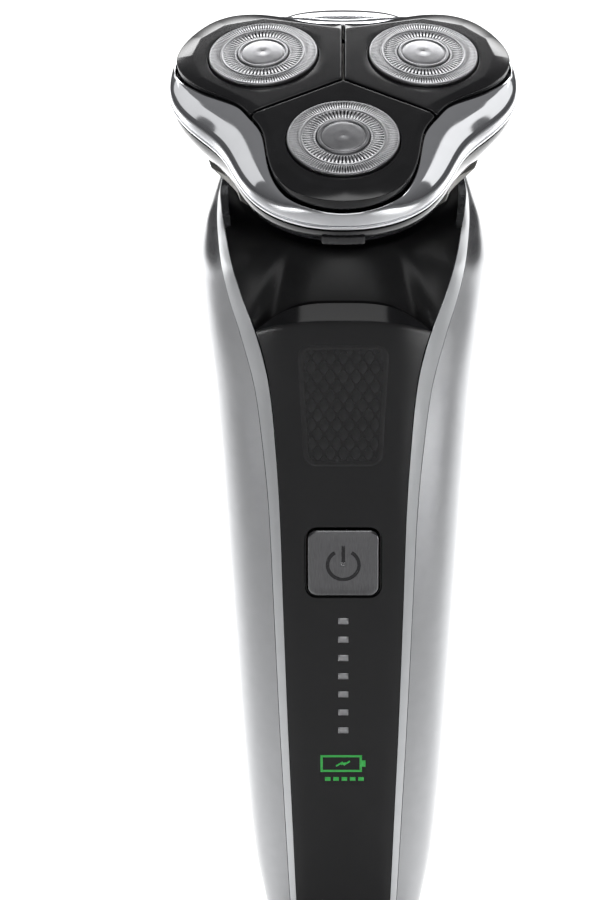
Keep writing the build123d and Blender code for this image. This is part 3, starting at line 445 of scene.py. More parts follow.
# The border of the middle band, anticlockwise from the bottom right, meets the button's opening
# ray by ray.
border = (
    [(mid_x[0, j], mid_z[0, j]) for j in range(COLS)]
    + [(mid_x[i, -1], mid_z[i, -1]) for i in range(1, 20)]
    + [(mid_x[-1, j], mid_z[-1, j]) for j in reversed(range(COLS))]
    + [(mid_x[i, 0], mid_z[i, 0]) for i in reversed(range(1, 20))]
)
border = np.array(border)
ray = np.arctan2(border[:, 1] - BUTTON_Z, border[:, 0])
hole_x, hole_y = rounded_square(120, PANEL_OPEN, BUTTON_CORNER + 0.55)
hole_ray = np.arctan2(hole_y, hole_x)
order = np.argsort(hole_ray)
open_x = np.interp(ray, hole_ray[order], hole_x[order], period=2 * math.pi)
open_z = BUTTON_Z + np.interp(ray, hole_ray[order], hole_y[order], period=2 * math.pi)
blend = np.linspace(0, 1, 8)[:, None]
band_x = open_x + (border[:, 0] - open_x) * blend
band_z = open_z + (border[:, 1] - open_z) * blend


def panel_layer(out):
    """The panel's four grids at a height over the skin; only the top one falls off."""
    grids = [(low_x, low_z, 0), (high_x, high_z, 0), (top_x, top_z, 1), (band_x, band_z, 0)]
    return [front(x, z, out + (panel_fall(x, z) if fall else 0)) for x, z, fall in grids]


outer = panel_layer(0.0)
inner = panel_layer(-PANEL_THICK)
faces, start = [], 0
for i, grid in enumerate(outer):
    part = grid_faces(*grid.shape[:2], wrap_cols=(i == 3), start=start)
    faces += [f[::-1] for f in part] if i == 3 else part
    start += grid.shape[0] * grid.shape[1]


def merged(grids, faces):
    """Joins grids that share borders, so that the sheet has no inner free edges."""
    points = np.concatenate([g.reshape(-1, 3) for g in grids])
    keys, number, keep = {}, [], []
    for p in np.round(points, 3):
        key = tuple(p + 0.0)
        if key not in keys:
            keys[key] = len(keys)
            keep.append(len(number))
        number.append(keys[key])
    new = []
    for f in faces:
        g = [number[i] for i in f]
        short = [g[i] for i in range(len(g)) if g[i] != g[i - 1]]
        if len(set(short)) > 2:
            new.append(short)
    return np.array(keep), new


keep, sheet_faces = merged(outer, faces)
flat_out = np.concatenate([g.reshape(-1, 3) for g in outer])[keep]
flat_in = np.concatenate([g.reshape(-1, 3) for g in inner])[keep]
piece("front_panel_shell", shell(flat_out, flat_in, sheet_faces), "handle", "front_panel",
      edge=0.14, replaces=["front_panel"])

# ------------------------------------------------------- chrome strips, side panels, rear shell

def strip_path():
    """The strip's inner edge: up beside the panel, then along the shoulder's rim to the side."""
    z_up = np.linspace(FOOT_EDGE, ARCH_FOOT - 3.5, 70)
    s_up = s_of_x(strip_x(z_up), z_up)
    s_round = np.linspace(RIM_S[1] + 0.3, s_split(149.0), 60)
    z_round = rim_height(s_round)
    s_all, z_all = np.concatenate([s_up, s_round]), np.concatenate([z_up, z_round])
    length = np.concatenate([[0], np.cumsum(np.hypot(np.diff(s_all), np.diff(z_all)))])
    even = np.linspace(0, length[-1], 190)
    s_even, z_even = np.interp(even, length, s_all), np.interp(even, length, z_all)
    for _ in range(6):
        s_even[1:-1] = (s_even[:-2] + 2 * s_even[1:-1] + s_even[2:]) / 4
        z_even[1:-1] = (z_even[:-2] + 2 * z_even[1:-1] + z_even[2:]) / 4
    return s_even, z_even


edge_s, edge_z = strip_path()
tangent = np.stack([np.gradient(edge_s), np.gradient(edge_z)])
tangent /= np.linalg.norm(tangent, axis=0)
wide = smooth(edge_z, STRIP_WIDTH_Z, STRIP_WIDTH)
wide = wide * (1 - 0.25 * np.clip((edge_s - 24) / 12, 0, 1))
far_s, far_z = edge_s + tangent[1] * wide, edge_z - tangent[0] * wide
far_z[0] = edge_z[0]
DROP, SIDE_THICK, REAR_THICK = 0.55, 1.6, 1.7

# The strip's section: shares of the way across, and heights over the skin, outer face then inner.
STRIP_SECTION = (
    (0.0, 0.0), (0.33, -0.18), (0.66, -0.36), (1.0, -DROP),
    (1.0, -SIDE_THICK), (0.5, -SIDE_THICK), (0.0, -PANEL_THICK))

for side, word in ((-1, "left"), (1, "right")):
    rows = []
    for t, out in STRIP_SECTION:
        across = edge_s + (far_s - edge_s) * t
        rows.append(skin(side * across, edge_z + (far_z - edge_z) * t, out))
    # The strips take the darkened chrome copy, so their dark reflections are painted shade in the
    # colour.
    piece(f"strip_{word}", bar_solid(np.stack(rows)), "handle", f"chrome_strip_{word}",
          look="chrome_painted_shade", edge=0.1, replaces=[f"chrome_strip_{word}"])

    top_z_side = np.interp(s_split(147.0), far_s, far_z) - 0.12
    t = np.linspace(0, 1, 90)
    z_rows = (FOOT_EDGE + (top_z_side - FOOT_EDGE) * (1 - (1 - t) ** 1.25))[:, None]
    start_s = np.interp(z_rows, far_z, far_s) + 0.07
    end_s = np.maximum(s_split(z_rows) - 0.05, start_s + 0.05)
    c = np.linspace(0, 1, 26)
    s_grid = start_s + (end_s - start_s) * c
    rise = np.clip((s_grid - start_s) / 7.0, 0, 1)
    out = -DROP * (1 - rise * rise * (3 - 2 * rise)) - 0.04
    # The panel starts at the strip's dropped edge and rises to the skin beside it.
    top = skin(side * s_grid, z_rows + 0 * s_grid, out)
    low = skin(side * s_grid, z_rows + 0 * s_grid, -SIDE_THICK)
    piece(f"side_panel_{word}_shell", sheet_solid(top, low), "handle", f"side_panel_{word}",
          edge=0.1, replaces=[f"side_panel_{word}"])


def rear_grid(out):
    """The rear shell from one side panel to the other, up to the shoulder's rim."""
    grid_s, grid_z = [], []
    for share in np.linspace(-1, 1, 81):
        z_guess = 150.0
        for _ in range(12):
            s_edge = float(s_split(z_guess))
            s_here = s_edge + (float(s_back(z_guess)) - s_edge) * (1 - abs(share))
            z_guess = float(rim_height(s_here))
        z_col = FOOT_EDGE + (z_guess - FOOT_EDGE) * np.linspace(0, 1, 90)
        s_from = s_split(z_col) + 0.05
        s_col = s_from + (s_back(z_col) - s_from) * (1 - abs(share))
        grid_s.append(math.copysign(1, share) * s_col)
        grid_z.append(z_col)
    return skin(np.stack(grid_s, 1), np.stack(grid_z, 1), out)


rear_solid = sheet_solid(rear_grid(-0.04), rear_grid(-REAR_THICK))
piece("rear_shell_skin", rear_solid, "handle", "rear_shell", edge=0.12, replaces=["rear_shell"])


def rounded_patch(width_low, width_high, z_low, z_high, corner, nx, nz):
    """Grid of widths and heights filling a rounded, tapered rectangle."""
    z = z_low + (z_high - z_low) * (1 - np.cos(np.linspace(0, math.pi, nz))) / 2
    near = np.minimum(np.minimum(z - z_low, z_high - z), corner)
    half = (width_low + (width_high - width_low) * (z - z_low) / (z_high - z_low)) / 2
    half = half - (corner - np.sqrt(np.maximum(corner ** 2 - (corner - near) ** 2, 0)))
    return np.linspace(-1, 1, nx) * half[:, None], z[:, None] + np.zeros(nx)


def edge_distance(x, z, width_low, width_high, z_low, z_high, corner):
    """How far points of a rounded patch lie inside its border."""
    half = (width_low + (width_high - width_low) * (z - z_low) / (z_high - z_low)) / 2
    qx = np.abs(x) - (half - corner)
    qz = np.abs(z - (z_low + z_high) / 2) - ((z_high - z_low) / 2 - corner)
    outside = np.hypot(np.maximum(qx, 0), np.maximum(qz, 0))
    return corner - outside - np.minimum(np.maximum(qx, qz), 0)


# Rear grip: a long rubber inlay with slanted ribs.
grip = (17.0, 17.0, 24.0, 104.0, 7.0)
gx, gz = rounded_patch(*grip, 61, 240)
inset = np.clip(edge_distance(gx, gz, *grip) / 1.6, 0, 1)
ribs = np.clip(np.sin((gz + np.abs(gx) * 0.55) * 2 * math.pi / 4.2) * 2.4, -1, 1)
valleys = np.clip(inset * 2 - 1, 0, 1) * (1 - ribs) / 2
grip_out = 0.06 + 0.22 * np.minimum(inset * 3, 1) - 0.16 * valleys


def back_skin(x, z, out):
    """The back's skin, which mirrors the front's."""
    p = front(x, z, out)
    y = BACK_Y + FRONT_Y - p[..., 1]
    return np.stack([p[..., 0], y, p[..., 2]], -1)


grip_solid = sheet_solid(back_skin(gx, gz, grip_out), back_skin(gx, gz, -0.5))
piece("rear_grip_inlay", grip_solid, "handle", "rear_grip", edge=0.08, replaces=["rear_grip"])

# ------------------------------------------------------------ neck cover

def rim_loop():
    """Half of the shoulder's rim, from the front centre, under the panel, to the back."""
    s_all = np.linspace(0, RIM_S[-1], 180)
    start, slope = RIM_Z[1], (RIM_Z[2] - RIM_Z[1]) / (RIM_S[2] - RIM_S[1])
    low_z = start - slope * RIM_S[1] * 0.5 * (1 - (s_all / RIM_S[1]) ** 2)
    z_all = np.where(s_all < RIM_S[1], np.maximum(low_z, 120.5), rim_height(s_all))
    out_all = -0.1 - 1.5 * np.clip((RIM_S[1] + 1.0 - s_all) / 2.0, 0, 1)
    points = skin(np.minimum(s_all, s_back(z_all)), z_all, out_all)
    points[:, 2] -= 0.05
    length = np.concatenate([[0], np.cumsum(np.linalg.norm(np.diff(points, axis=0), axis=1))])
    even = np.linspace(0, length[-1], 121)
    return np.stack([np.interp(even, length, points[:, i]) for i in range(3)], 1)


half_rim = rim_loop()
other = half_rim[-2:0:-1] * [-1, 1, 1]
rim = np.concatenate([half_rim, other])
for _ in range(3):
    rim = (np.roll(rim, 1, 0) + 2 * rim + np.roll(rim, -1, 0)) / 4
from_axis = rim - CENTRE
rim_u, rim_v, rim_h = from_axis @ U, from_axis @ V, -(from_axis @ N)
rim_r, rim_angle = np.hypot(rim_u, rim_v), np.arctan2(rim_v, rim_u)
NECK_IN, NECK_DEEP, CREST_R, CREST_H = 14.35, 24.4, 18.6, 21.4


def dish(k, drop=0.0):
    """From the rim, k = 0, over a low crest and down a hollow to the neck, k = 1."""
    r = rim_r + (NECK_IN - rim_r) * k
    out = np.clip((r - CREST_R) / (rim_r - CREST_R), 0, 1)
    hollow = np.clip((CREST_R - r) / (CREST_R - NECK_IN), 0, 1)
    h = CREST_H + (rim_h - CREST_H) * out ** 1.3
    h = h + (NECK_DEEP - CREST_H) * (1 - np.sqrt(1 - hollow ** 2))
    return head(r * np.cos(rim_angle), r * np.sin(rim_angle), h + drop)


rows = np.concatenate([[0, 0.015], np.linspace(0.03, 0.5, 48), np.linspace(0.53, 1, 22)])
dish_top, dish_low = (np.stack([dish(k, drop) for k in rows]) for drop in (0.0, 1.4))
piece("neck_cover_skin", sheet_solid(dish_top, dish_low, wrap=True), "handle", "neck_cover",
      look="shoulder_black", edge=0.12, replaces=["neck_cover"])

# ------------------------------------------------------------ thumb pad

pad = (14.2, 16.4, 99.6, 122.6, 2.6)
px, pz = rounded_patch(*pad, 150, 230)
inset = edge_distance(px, pz, *pad)
DIAMOND = 1.75 * 1.25
da = (px + pz * 0.62) * 2 * math.pi / DIAMOND
db = (px - pz * 0.62) * 2 * math.pi / DIAMOND
diamond = np.maximum(np.cos(da) * 0.5 + 0.5, 0) * np.maximum(np.cos(db) * 0.5 + 0.5, 0)
field = np.clip((inset - 1.25) / 0.5, 0, 1)
border_line = np.exp(-((inset - 0.75) / 0.3) ** 2)
pad_out = 0.10 * border_line - 0.01 + 0.12 * diamond ** 0.8 * field
pad_out = pad_out - 0.18 * np.exp(-np.clip(inset, 0, 9) / 0.12)
piece("thumb_pad_inlay", sheet_solid(front(px, pz, pad_out), front(px, pz, -0.6)), "handle",
      "thumb_pad", replaces=["thumb_pad"])

# ------------------------------------------------------------ power button and its symbol

BUTTON_SINK, BUTTON_FACE = 0.30, 0.475
SYMBOL_LINE, SYMBOL_HIGH, LINE_DEEP = 0.62, 0.05, 0.12
bx, by = rounded_square(40, 1.0, BUTTON_CORNER / BUTTON_HALF)
# The button's profile, shares of its half width and heights: a raised rim round a hollow face.
steps = [(1.0, -3.3), (1.0, 0.30), (0.992, 0.44), (0.972, 0.56), (0.945, 0.62), (0.915, 0.60),
         (0.86, 0.53), (0.7, 0.49), (0.5, 0.47), (0.3, 0.46), (0.12, 0.455), (0.001, 0.455)]
face_y = float(front(np.array(0.0), np.array(BUTTON_Z))[1])
lean_y = (half_width(BUTTON_Z + 6) - half_width(BUTTON_Z - 6)) / 12


def button_point(x, z, out):
    """A point over the button's plane, which leans as the panel does there."""
    return np.stack([x, face_y - lean_y * (z - BUTTON_Z) - out + 0 * x, z], -1)


rings = []
for k, out in steps:
    reach = BUTTON_HALF * k
    rings.append(button_point(bx * reach, BUTTON_Z + by * reach, out - BUTTON_SINK))
rings.append(button_point(bx * 0, BUTTON_Z + by * 0, -3.6))
piece("power_button_cap", ring_solid(np.stack(rings)), "power_button", "power_button",
      replaces=["power_button"])


def on_button(x, z, out):
    """A point over the button's flat middle."""
    return button_point(np.asarray(x), np.asarray(z), BUTTON_FACE - BUTTON_SINK + out)


def arc_bar(cx, cz, radius, start, stop, width, place, high):
    """A thin raised line along an arc."""
    a = np.radians(np.linspace(start, stop, 48))
    half = width / 2
    rows = []
    for dr, dh in ((-half, -LINE_DEEP), (half, -LINE_DEEP), (half, high), (-half, high)):
        rows.append(place(cx + (radius + dr) * np.cos(a), cz + (radius + dr) * np.sin(a), dh))
    return bar_solid(np.stack(rows))


def line_bar(x0, z0, x1, z1, width, place, high):
    """A thin raised line between two points."""
    d = np.array([x1 - x0, z1 - z0])
    side = np.array([-d[1], d[0]]) / np.linalg.norm(d) * width / 2
    t = np.linspace(0, 1, 6)
    rows = []
    for k, dh in ((-1, -LINE_DEEP), (1, -LINE_DEEP), (1, high), (-1, high)):
        rows.append(place(x0 + d[0] * t + k * side[0], z0 + d[1] * t + k * side[1], dh))
    return bar_solid(np.stack(rows))


symbol = joined(
    arc_bar(0, BUTTON_Z - 0.35, 2.75, 122, 418, SYMBOL_LINE, on_button, SYMBOL_HIGH),
    line_bar(0, BUTTON_Z + 0.2, 0, BUTTON_Z + 3.3, SYMBOL_LINE, on_button, SYMBOL_HIGH),
)
piece("power_symbol", symbol, "power_button", "power_button", look="chamber_plastic", edge=0.02)

# The opening's floor, which closes the dark recess round the button.
RECESS_TOP, RECESS_LOW = 0.62, 1.3
fx, fz = rounded_square(60, PANEL_OPEN - 0.02, BUTTON_CORNER + 0.5)
hx, hz = rounded_square(60, BUTTON_HALF + 0.25, BUTTON_CORNER + 0.25)
loop = np.stack([
    front(fx, BUTTON_Z + fz, -RECESS_LOW), front(fx, BUTTON_Z + fz, -RECESS_TOP),
    front(hx, BUTTON_Z + hz, -RECESS_TOP), front(hx, BUTTON_Z + hz, -RECESS_LOW),
])
piece("button_recess", ring_solid(softened(loop, 0.06, 2)), "handle", "front_panel",
      look="black_gloss")

# ------------------------------------------------------------ window, charge symbol, printed dashes

pane = (9.5, 9.5, 37.65, 44.75, 0.95)
wx, wz = rounded_patch(*pane, 25, 25)
edge_in = edge_distance(wx, wz, *pane)
win_out = 0.02 - 0.05 * np.exp(-np.clip(edge_in, 0, 9) / 0.1)
piece("window_pane", sheet_solid(front(wx, wz, win_out), front(wx, wz, -0.8)), "handle",
      "indicator_window", replaces=["indicator_window"])


def on_skin(x, z, out):
    """A point just over the front panel."""
    return front(np.asarray(x, float), np.asarray(z, float), 0.025 + out)


PRINT_HIGH = 0.012


def bar_outline(x0, z0, x1, z1, width):
    """A printed rectangle's four lines."""
    left, right = x0 - width / 2, x1 + width / 2
    sides = [(left, z0, right, z0), (left, z1, right, z1), (x0, z0, x0, z1), (x1, z0, x1, z1)]
    return [line_bar(*side, width, on_skin, PRINT_HIGH) for side in sides]


# A battery with its end and a lightning flash, over five level ticks.
charge = bar_outline(-3.9, 40.75, 3.15, 43.75, 0.42)
strokes = [(3.35, 42.25, 4.0, 42.25, 1.3), (-1.3, 41.75, -0.05, 42.55, 0.32),
           (-0.45, 42.1, 0.45, 42.4, 0.32), (0.05, 41.95, 1.2, 42.75, 0.32)]
strokes += [(-3.3 + 1.5 * i, 39.1, -2.3 + 1.5 * i, 39.1, 0.75) for i in range(5)]
charge += [line_bar(*stroke, on_skin, PRINT_HIGH) for stroke in strokes]
piece("charge_symbol", joined(*charge), "handle", "indicator_light", slot="green_light")

DASH_TOP, DASH_STEP = 70.6, 3.6
dashes = []
for i in range(7):
    z = DASH_TOP - DASH_STEP * i
    dashes.append(line_bar(-0.9, z, 0.9, z, 1.15, on_skin, PRINT_HIGH))
piece("printed_dashes", joined(*dashes), "handle", "front_panel", look="print_silver")

# ------------------------------------------------------------ guards, caps and plates

CREASE = [(7.2, 13.35), (8.3, 13.1), (15.2, 11.6), (21.8, 10.0), (26.8, 5.3), (28.35, 0.0)]
CREASE = CREASE + [(a, -b) for a, b in CREASE[-2::-1]]


def plate_radius(c):
    """The plates' outline from the head's centre, for the cosine of three times the angle."""
    return 24.1 + 6.95 * c - 0.6 * (4 * c ** 3 - 3 * c)


def bezel_radius(c):
    """The bezel's outline, in the same way."""
    return 28.05 + 3.75 * c - 0.55 * (2 * c * c - 1)


def foot_depth(c):
    """How deep below the head's plane the plates' sides end."""
    return 3.1 + 0.7 * np.clip((c - 0.55) / 0.45, 0, 1) ** 2


def first_crossing(angle, origin, points):
    """Distance along rays from the origin to an open chain of points."""
    d = np.stack([np.cos(angle), np.sin(angle)], -1)
    best = np.full(angle.shape, 99.0)
    for (ax, ay), (end_x, end_y) in zip(points, points[1:]):
        ex, ey = end_x - ax, end_y - ay
        cross = d[:, 0] * ey - d[:, 1] * ex
        cross = np.where(np.abs(cross) < 1e-9, 1e-9, cross)
        rx, ry = ax - origin[0], ay - origin[1]
        along = (rx * ey - ry * ex) / cross
        part = (rx * d[:, 1] - ry * d[:, 0]) / cross
        hit = (along > 0) & (part >= -1e-6) & (part <= 1 + 1e-6)
        best = np.where(hit & (along < best), along, best)
    return best


delta = np.radians(np.linspace(-62, 62, 249))
outline_r = plate_radius(np.cos(3 * delta))
OUTLINE = list(zip(outline_r * np.cos(delta), outline_r * np.sin(delta)))
HALF_GAP = 0.3
SIXTY = math.radians(60)
tip_a = HALF_GAP / math.sin(SIXTY)
WEDGE = [
    (tip_a + 30 * math.cos(SIXTY), -30 * math.sin(SIXTY)),
    (tip_a, 0),
    (tip_a + 30 * math.cos(SIXTY), 30 * math.sin(SIXTY)),
]
spot = (RING_CIRCLE, 0.0)
special = [math.atan2(b - spot[1], a - spot[0]) for a, b in CREASE[1:-1]] + [math.pi]
phi = np.concatenate([np.linspace(-math.pi, math.pi, 220, endpoint=False), special])
phi = np.unique(np.round(phi, 6))
phi = phi[(phi > -math.pi + 1e-4)]
to_wedge = first_crossing(phi, spot, WEDGE)
to_outline = first_crossing(phi, spot, OUTLINE)
to_crease = first_crossing(phi, spot, CREASE)
to_edge = np.minimum(to_wedge, to_outline)
bevelled = to_crease < to_edge - 0.05
to_top = np.where(bevelled, to_crease, to_edge - 0.16)
HOLE_R, TOP_W, UNDER_W = 9.52, -0.6, -2.6


def head_depth(a, w):
    """How deep below the head's plane a lobe's point lies, at a radius and level of the lobe."""
    return a * math.sin(LEAN) - w * math.cos(LEAN)


for word in LOBES:
    cos, sin = np.cos(phi), np.sin(phi)
    edge_a, edge_b = RING_CIRCLE + to_edge * cos, to_edge * sin
    out_c = np.cos(3 * np.arctan2(edge_b, edge_a))
    full = np.clip((to_edge - to_crease) / np.maximum(to_outline - to_crease, 0.1), 0, 1)
    full = np.where(bevelled, full, 0)
    top_depth = head_depth(to_top * cos, TOP_W)
    bevel_depth = top_depth + (1.3 + 0.6 * out_c - top_depth) * full
    edge_depth = np.where(bevelled, bevel_depth, top_depth + 0.12)
    edge_depth = np.maximum(edge_depth, top_depth + 0.05)
    base_depth = np.maximum(foot_depth(out_c), edge_depth + 0.6)

    def at(radius, depth=None, w=None):
        """Points round the cutter's axis, at a depth below the head's plane or a level w."""
        w = (radius * cos * math.sin(LEAN) - depth) / math.cos(LEAN) if w is None else w
        return lobe_point(word, radius * cos, radius * sin, w + 0 * phi)

    hole = np.full(phi.shape, HOLE_R)
    thin = np.maximum(to_edge - 1.3, HOLE_R + 0.15)
    mid1 = hole + (to_top - hole) * 0.33
    mid2 = hole + (to_top - hole) * 0.8
    loop = np.stack([
        at(hole, w=TOP_W), at(mid1, w=TOP_W), at(mid2, w=TOP_W), at(to_top, w=TOP_W),
        at(to_edge, depth=edge_depth), at(to_edge, depth=base_depth), at(thin, depth=base_depth),
        at(thin, w=UNDER_W), at(hole, w=UNDER_W),
    ])
    radius = [0.14, 0.05, 0.05, 0.12, 0.16, 0.1, 0.1, 0.1, 0.1]
    unit = f"plate_unit_{word}"
    piece(f"plate_{word}_skin", ring_solid(softened(loop, radius, 3)), unit, f"plate_{word}",
          replaces=[f"plate_{word}"])

    def track(rows_top, rows_low, cols, slot_row):
        """A turned sheet with every other face of one row left open, which makes the slots."""
        a = np.linspace(0, 2 * math.pi, cols, endpoint=False)
        grids = []
        for g in (np.array(rows_top, float), np.array(rows_low, float)):
            grids.append(
                lobe_point(word, g[:, :1] * np.cos(a), g[:, :1] * np.sin(a), g[:, 1:] + 0 * a))
        return sheet_solid(*grids, wrap=True, skip=lambda i, j: i == slot_row and j % 2 == 1)

    outer_track = track(
        [(9.28, -3.0), (9.28, -0.3), (9.24, -0.12), (9.12, -0.02), (9.0, 0), (7.3, 0), (7.0, 0)],
        [(8.95, -3.0), (8.95, -0.6), (8.93, -0.5), (8.9, -0.42), (8.85, -0.4), (7.3, -0.4),
         (7.0, -0.4)], 240, 4)
    inner_track = track(
        [(6.95, 0), (6.7, 0), (4.85, 0), (4.5, 0)],
        [(6.95, -0.4), (6.7, -0.4), (4.85, -0.4), (4.5, -0.4)], 128, 1)
    ridge = turned(word, [(6.72, -0.35), (6.8, 0.1), (7.02, 0.16), (7.16, 0.1), (7.24, -0.35)],
                   0.05, 120, 2)
    piece(f"guard_{word}_foil", joined(outer_track, inner_track, ridge), unit, f"guard_{word}",
          replaces=[f"guard_{word}"])
    cap = turned(word, [(0.0, 0.27), (1.5, 0.25), (2.9, 0.17), (3.55, 0.12), (3.62, 0.02),
                        (3.8, 0.02), (3.87, 0.22), (4.3, 0.2), (4.42, -0.3), (4.42, -0.7),
                        (0.0, -0.7)], 0.06, 72, 2)
    piece(f"guard_cap_{word}_disc", cap, unit, f"guard_cap_{word}",
          replaces=[f"guard_cap_{word}"])

# ------------------------------------------------------------ bezel

turn = np.linspace(0, 2 * math.pi, 360, endpoint=False)
c3 = np.cos(3 * (turn - math.radians(270)))
rp, rb = plate_radius(c3), bezel_radius(c3)
valley = np.clip((0.55 - c3) / 1.55, 0, 1)
top_h = np.where(c3 > 0.55, foot_depth(c3) + 0.3, 1.25 + (3.4 - 1.25) * (1 - valley) ** 1.6)
top_r = np.minimum(rp + 0.3, rb - 0.3)
FOOT_H = 7.45


def bezel_ring(r, h):
    """A ring of points round the head's axis at its own radii, at a depth."""
    return head(r * np.cos(turn), r * np.sin(turn), h + 0 * turn)


loop = [bezel_ring(top_r, top_h)]
for q in (12, 24, 36, 48, 60, 72, 82, 90):
    a = math.radians(q)
    reach_r = top_r + (rb - top_r) * math.sin(a)
    loop.append(bezel_ring(reach_r, top_h + (6.15 - top_h) * (1 - math.cos(a)) ** 0.85))
# Below the bulge: a groove, the foot, and the inside back up to the plates.
loop += [bezel_ring(rb + out, h) for out, h in (
    (-0.02, 6.35), (-0.38, 6.42), (-0.38, 6.6), (0, 6.68), (0.02, 7.1),
    (-0.25, FOOT_H), (-1.3, FOOT_H), (-1.5, 6.4))]
loop.append(bezel_ring(np.minimum(top_r, rb - 1.2), np.maximum(top_h + 0.9, 4.4)))
soft_radius = [0.12] + [0.3] * 8 + [0.05, 0.05, 0.05, 0.1, 0.2, 0.15, 0.15, 0.2, 0.2]
bezel_solid = ring_solid(softened(np.stack(loop), soft_radius, 2))

# The hinge cover at the back, with its knuckle round the pin and the web between the two.
HINGE_Y, HINGE_H, HINGE_R, PIN_HOLE_R = 26.0, 9.0, 1.9, 0.97
u = np.linspace(-11.5, 11.5, 41)
near = 21.0 + 0.02 * u ** 2
end = np.sqrt(1 - (u / 11.6) ** 2)
far = near + 0.4 + 5.6 * end
peak = 6.2 - 2.9 * end
cover_loop = np.stack([
    head(u, near, peak), head(u, near + (far - near) * 0.7, peak + 0.1 * end),
    head(u, far, peak + 0.9 * end), head(u, far, 6.5 + 0 * u), head(u, near, 6.5 + 0 * u),
])
hinge_cover = bar_solid(softened(cover_loop, [0.1, 1.2, 0.5, 0.2, 0.1], 4))
u = np.linspace(-3.5, 3.5, 9)
q = np.linspace(0, 2 * math.pi, 28, endpoint=False)
knuckle = [head(u[:, None] + 0 * q, HINGE_Y + r * np.cos(q), HINGE_H + r * np.sin(q))
           for r in (HINGE_R, PIN_HOLE_R)]
web = np.stack([head(u, 24.8, 5.8), head(u, 27.2, 5.8), head(u, 27.2, 7.65), head(u, 24.8, 7.65)])
rim_parts = joined(bezel_solid, hinge_cover, sheet_solid(*knuckle, wrap=True), bar_solid(web))
piece("bezel_rim", rim_parts, "head_top", "bezel", replaces=["bezel"])

# ------------------------------------------------------------ hair chamber

RIM_H, NECK_H, NECK_R, SPIGOT_R, SPIGOT_H, CHAMBER_WALL = 7.85, 20.4, 15.0, 12.5, 25.0, 1.5
rim_r = rb - 0.35


def funnel(k, inset):
    """From the lobed rim, k = 0, down to the round neck, k = 1."""
    ease = k * k * (3 - 2 * k)
    r = rim_r + (NECK_R - rim_r) * k ** 1.7
    round_r = NECK_R + (rim_r.mean() - NECK_R) * (1 - k)
    r = r + (round_r - r) * 0.25 * ease
    return bezel_ring(r - inset, RIM_H + (NECK_H - RIM_H) * k)


outer_rows = [funnel(k, 0.0) for k in np.linspace(0, 1, 22)]
inner_rows = [funnel(k, CHAMBER_WALL) for k in np.linspace(0.94, 0, 20)]
# The spigot under the neck, with the groove of its seal.
spigot_rows = [bezel_ring(r, h) for r, h in (
    (NECK_R - 0.4, NECK_H + 0.25), (SPIGOT_R, NECK_H + 0.3), (SPIGOT_R, 23.6),
    (SPIGOT_R - 0.8, 23.7), (SPIGOT_R - 0.8, 24.85), (SPIGOT_R, 24.9),
    (SPIGOT_R - 0.2, SPIGOT_H), (SPIGOT_R - CHAMBER_WALL, SPIGOT_H),
    (SPIGOT_R - CHAMBER_WALL, NECK_H - 1.3))]
chamber = ring_solid(np.stack(outer_rows + spigot_rows + inner_rows))
lugs = []
for side in (-1, 1):
    u = side * np.linspace(3.85, 8.1, 5)
    rows = []
    for q in np.radians(np.linspace(-60, 200, 22)):
        rows.append(head(u, HINGE_Y + HINGE_R * math.cos(q), HINGE_H - HINGE_R * math.sin(q)))
    rows += [head(u, 21.6, HINGE_H), head(u, 20.6, 12.4)]
    lugs.append(bar_solid(np.stack(rows)))
piece("hair_chamber_skin", joined(chamber, *lugs), "shaving_head", "hair_chamber",
      edge=0.1, angle=50, replaces=["hair_chamber"])

# Release button: a small ribbed latch on the front of the chamber.
u = np.linspace(-3.5, 3.5, 29)
ripple = 0.1 * np.abs(np.sin(u * math.pi))
LATCH_Y, LATCH_BACK_Y, LATCH_TOP = -31.0, -26.2, 8.95
bow = ripple + 0.02 * u ** 2
rows = [head(u, LATCH_Y + bow, LATCH_TOP), head(u, LATCH_Y + 0.1 + bow, 10.6),
        head(u, LATCH_BACK_Y + 0 * u, 10.65), head(u, LATCH_BACK_Y + 0 * u, LATCH_TOP)]
piece("release_latch", bar_solid(softened(np.stack(rows), 0.25, 3)), "release_button",
      "release_button", edge=0.12, replaces=["release_button"])

# ------------------------------------------------------------ floor, light, camera

floor_mesh = bpy.data.meshes.new("floor")
floor_mesh.from_pydata([(-6, -6, 0), (6, -6, 0), (6, 6, 0), (-6, 6, 0)], [], [(0, 1, 2, 3)])
floor = bpy.data.objects.new("floor", floor_mesh)
bpy.context.scene.collection.objects.link(floor)
paper = material("floor_paper", (0.90, 0.90, 0.90), rough=0.6, scale=40, vary=0.01)
floor.data.materials.append(paper)


def area(name, place, target, wide, power, tall, spread=180):
    """A rectangular soft light, in metres and watts, facing its target."""
    light = bpy.data.lights.new(name, "AREA")
    light.energy = power
    light.shape = "RECTANGLE"
    light.size = wide
    light.size_y = tall
    light.spread = math.radians(spread)
    obj = bpy.data.objects.new(name, light)
    bpy.context.scene.collection.objects.link(obj)
    spot_v, aim = np.array(place, float), np.array(target, float)
    obj.location = spot_v
    obj.rotation_euler = Vector(aim - spot_v).to_track_quat("-Z", "Y").to_euler()


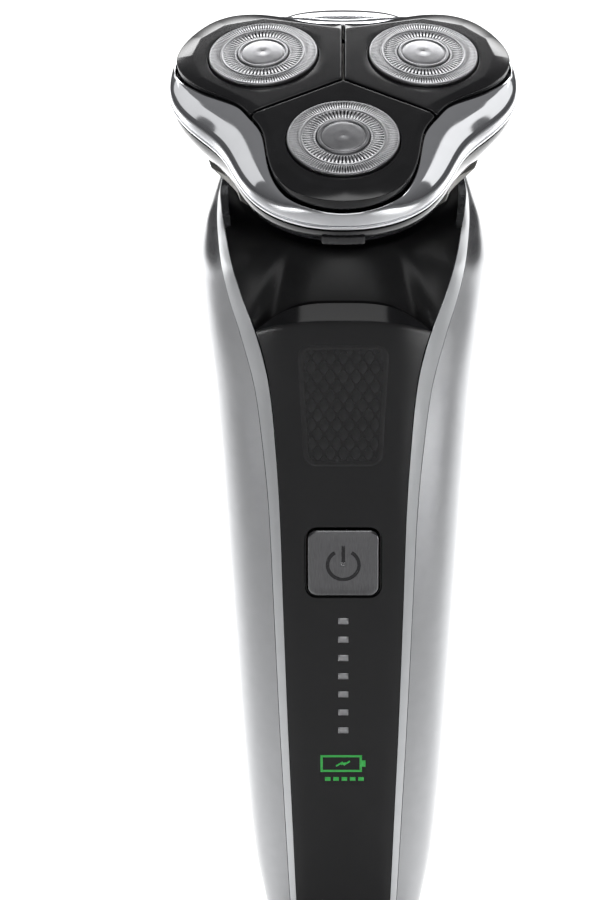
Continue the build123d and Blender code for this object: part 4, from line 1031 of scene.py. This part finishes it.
area("over_floor", (0, 0.27, 0.3), (0, 0.27, 0), 0.2, 1.6, 0.32, spread=110)
area("over_back", (0, 1.35, 0.6), (0, 1.35, 0), 2.6, 30, 2.0, spread=120)
area("left_back", (-0.55, 0.42, 0.3), (-0.55, 0.42, 0), 0.5, 0.9, 0.4, spread=60)
area("right_back", (0.5, 0.36, 0.3), (0.5, 0.36, 0), 0.5, 0.7, 0.4, spread=60)
area("left_front", (-0.42, -0.3, 0.3), (-0.42, -0.3, 0), 0.3, 1.0, 0.2, spread=50)
area("right_front", (0.36, -0.25, 0.3), (0.36, -0.25, 0), 0.3, 0.9, 0.2, spread=50)
area("left", (-0.42, 0.14, 0.42), (0, 0, 0.16), 0.36, 0.24, 0.34)
area("right", (0.42, 0.14, 0.42), (0, 0, 0.16), 0.36, 0.34, 0.34)
area("front", (0, -1.3, 0.42), (0, 0, 0.15), 0.5, 1.0, 0.5)
area("over_front", (0.05, -0.22, 0.6), (0, -0.02, 0.16), 0.25, 0.7, 0.3)

# A dim sky, darker below than above.
world = bpy.data.worlds.new("studio")
bpy.context.scene.world = world
world.use_nodes = True
sky_nodes, sky_links = world.node_tree.nodes, world.node_tree.links
sky_place = sky_nodes.new("ShaderNodeTexCoord")
sky_split = sky_nodes.new("ShaderNodeSeparateXYZ")
sky_ramp = sky_nodes.new("ShaderNodeValToRGB")
sky_links.new(sky_place.outputs["Generated"], sky_split.inputs["Vector"])
sky_links.new(sky_split.outputs["Z"], sky_ramp.inputs["Fac"])
sky_links.new(sky_ramp.outputs["Color"], sky_nodes["Background"].inputs["Color"])
sky_ramp.color_ramp.elements[0].position = 0.0
sky_ramp.color_ramp.elements[0].color = (0.08, 0.08, 0.083, 1)
sky_ramp.color_ramp.elements[1].position = 0.9
sky_ramp.color_ramp.elements[1].color = (0.2, 0.2, 0.205, 1)
sky_nodes["Background"].inputs["Strength"].default_value = 1.0

# The camera that was fitted to the photo.
camera = bpy.data.objects.new("camera", bpy.data.cameras.new("camera"))
bpy.context.scene.collection.objects.link(camera)
camera.location = (0, -0.458715, 0.248756)
camera.rotation_euler = (math.radians(90 - 18.353), 0, 0)
camera.data.lens = 108
camera.data.sensor_width = 36
camera.data.shift_x = -0.0414
camera.data.clip_start = 0.01
bpy.context.scene.camera = camera
bpy.context.scene.view_settings.view_transform = "Standard"
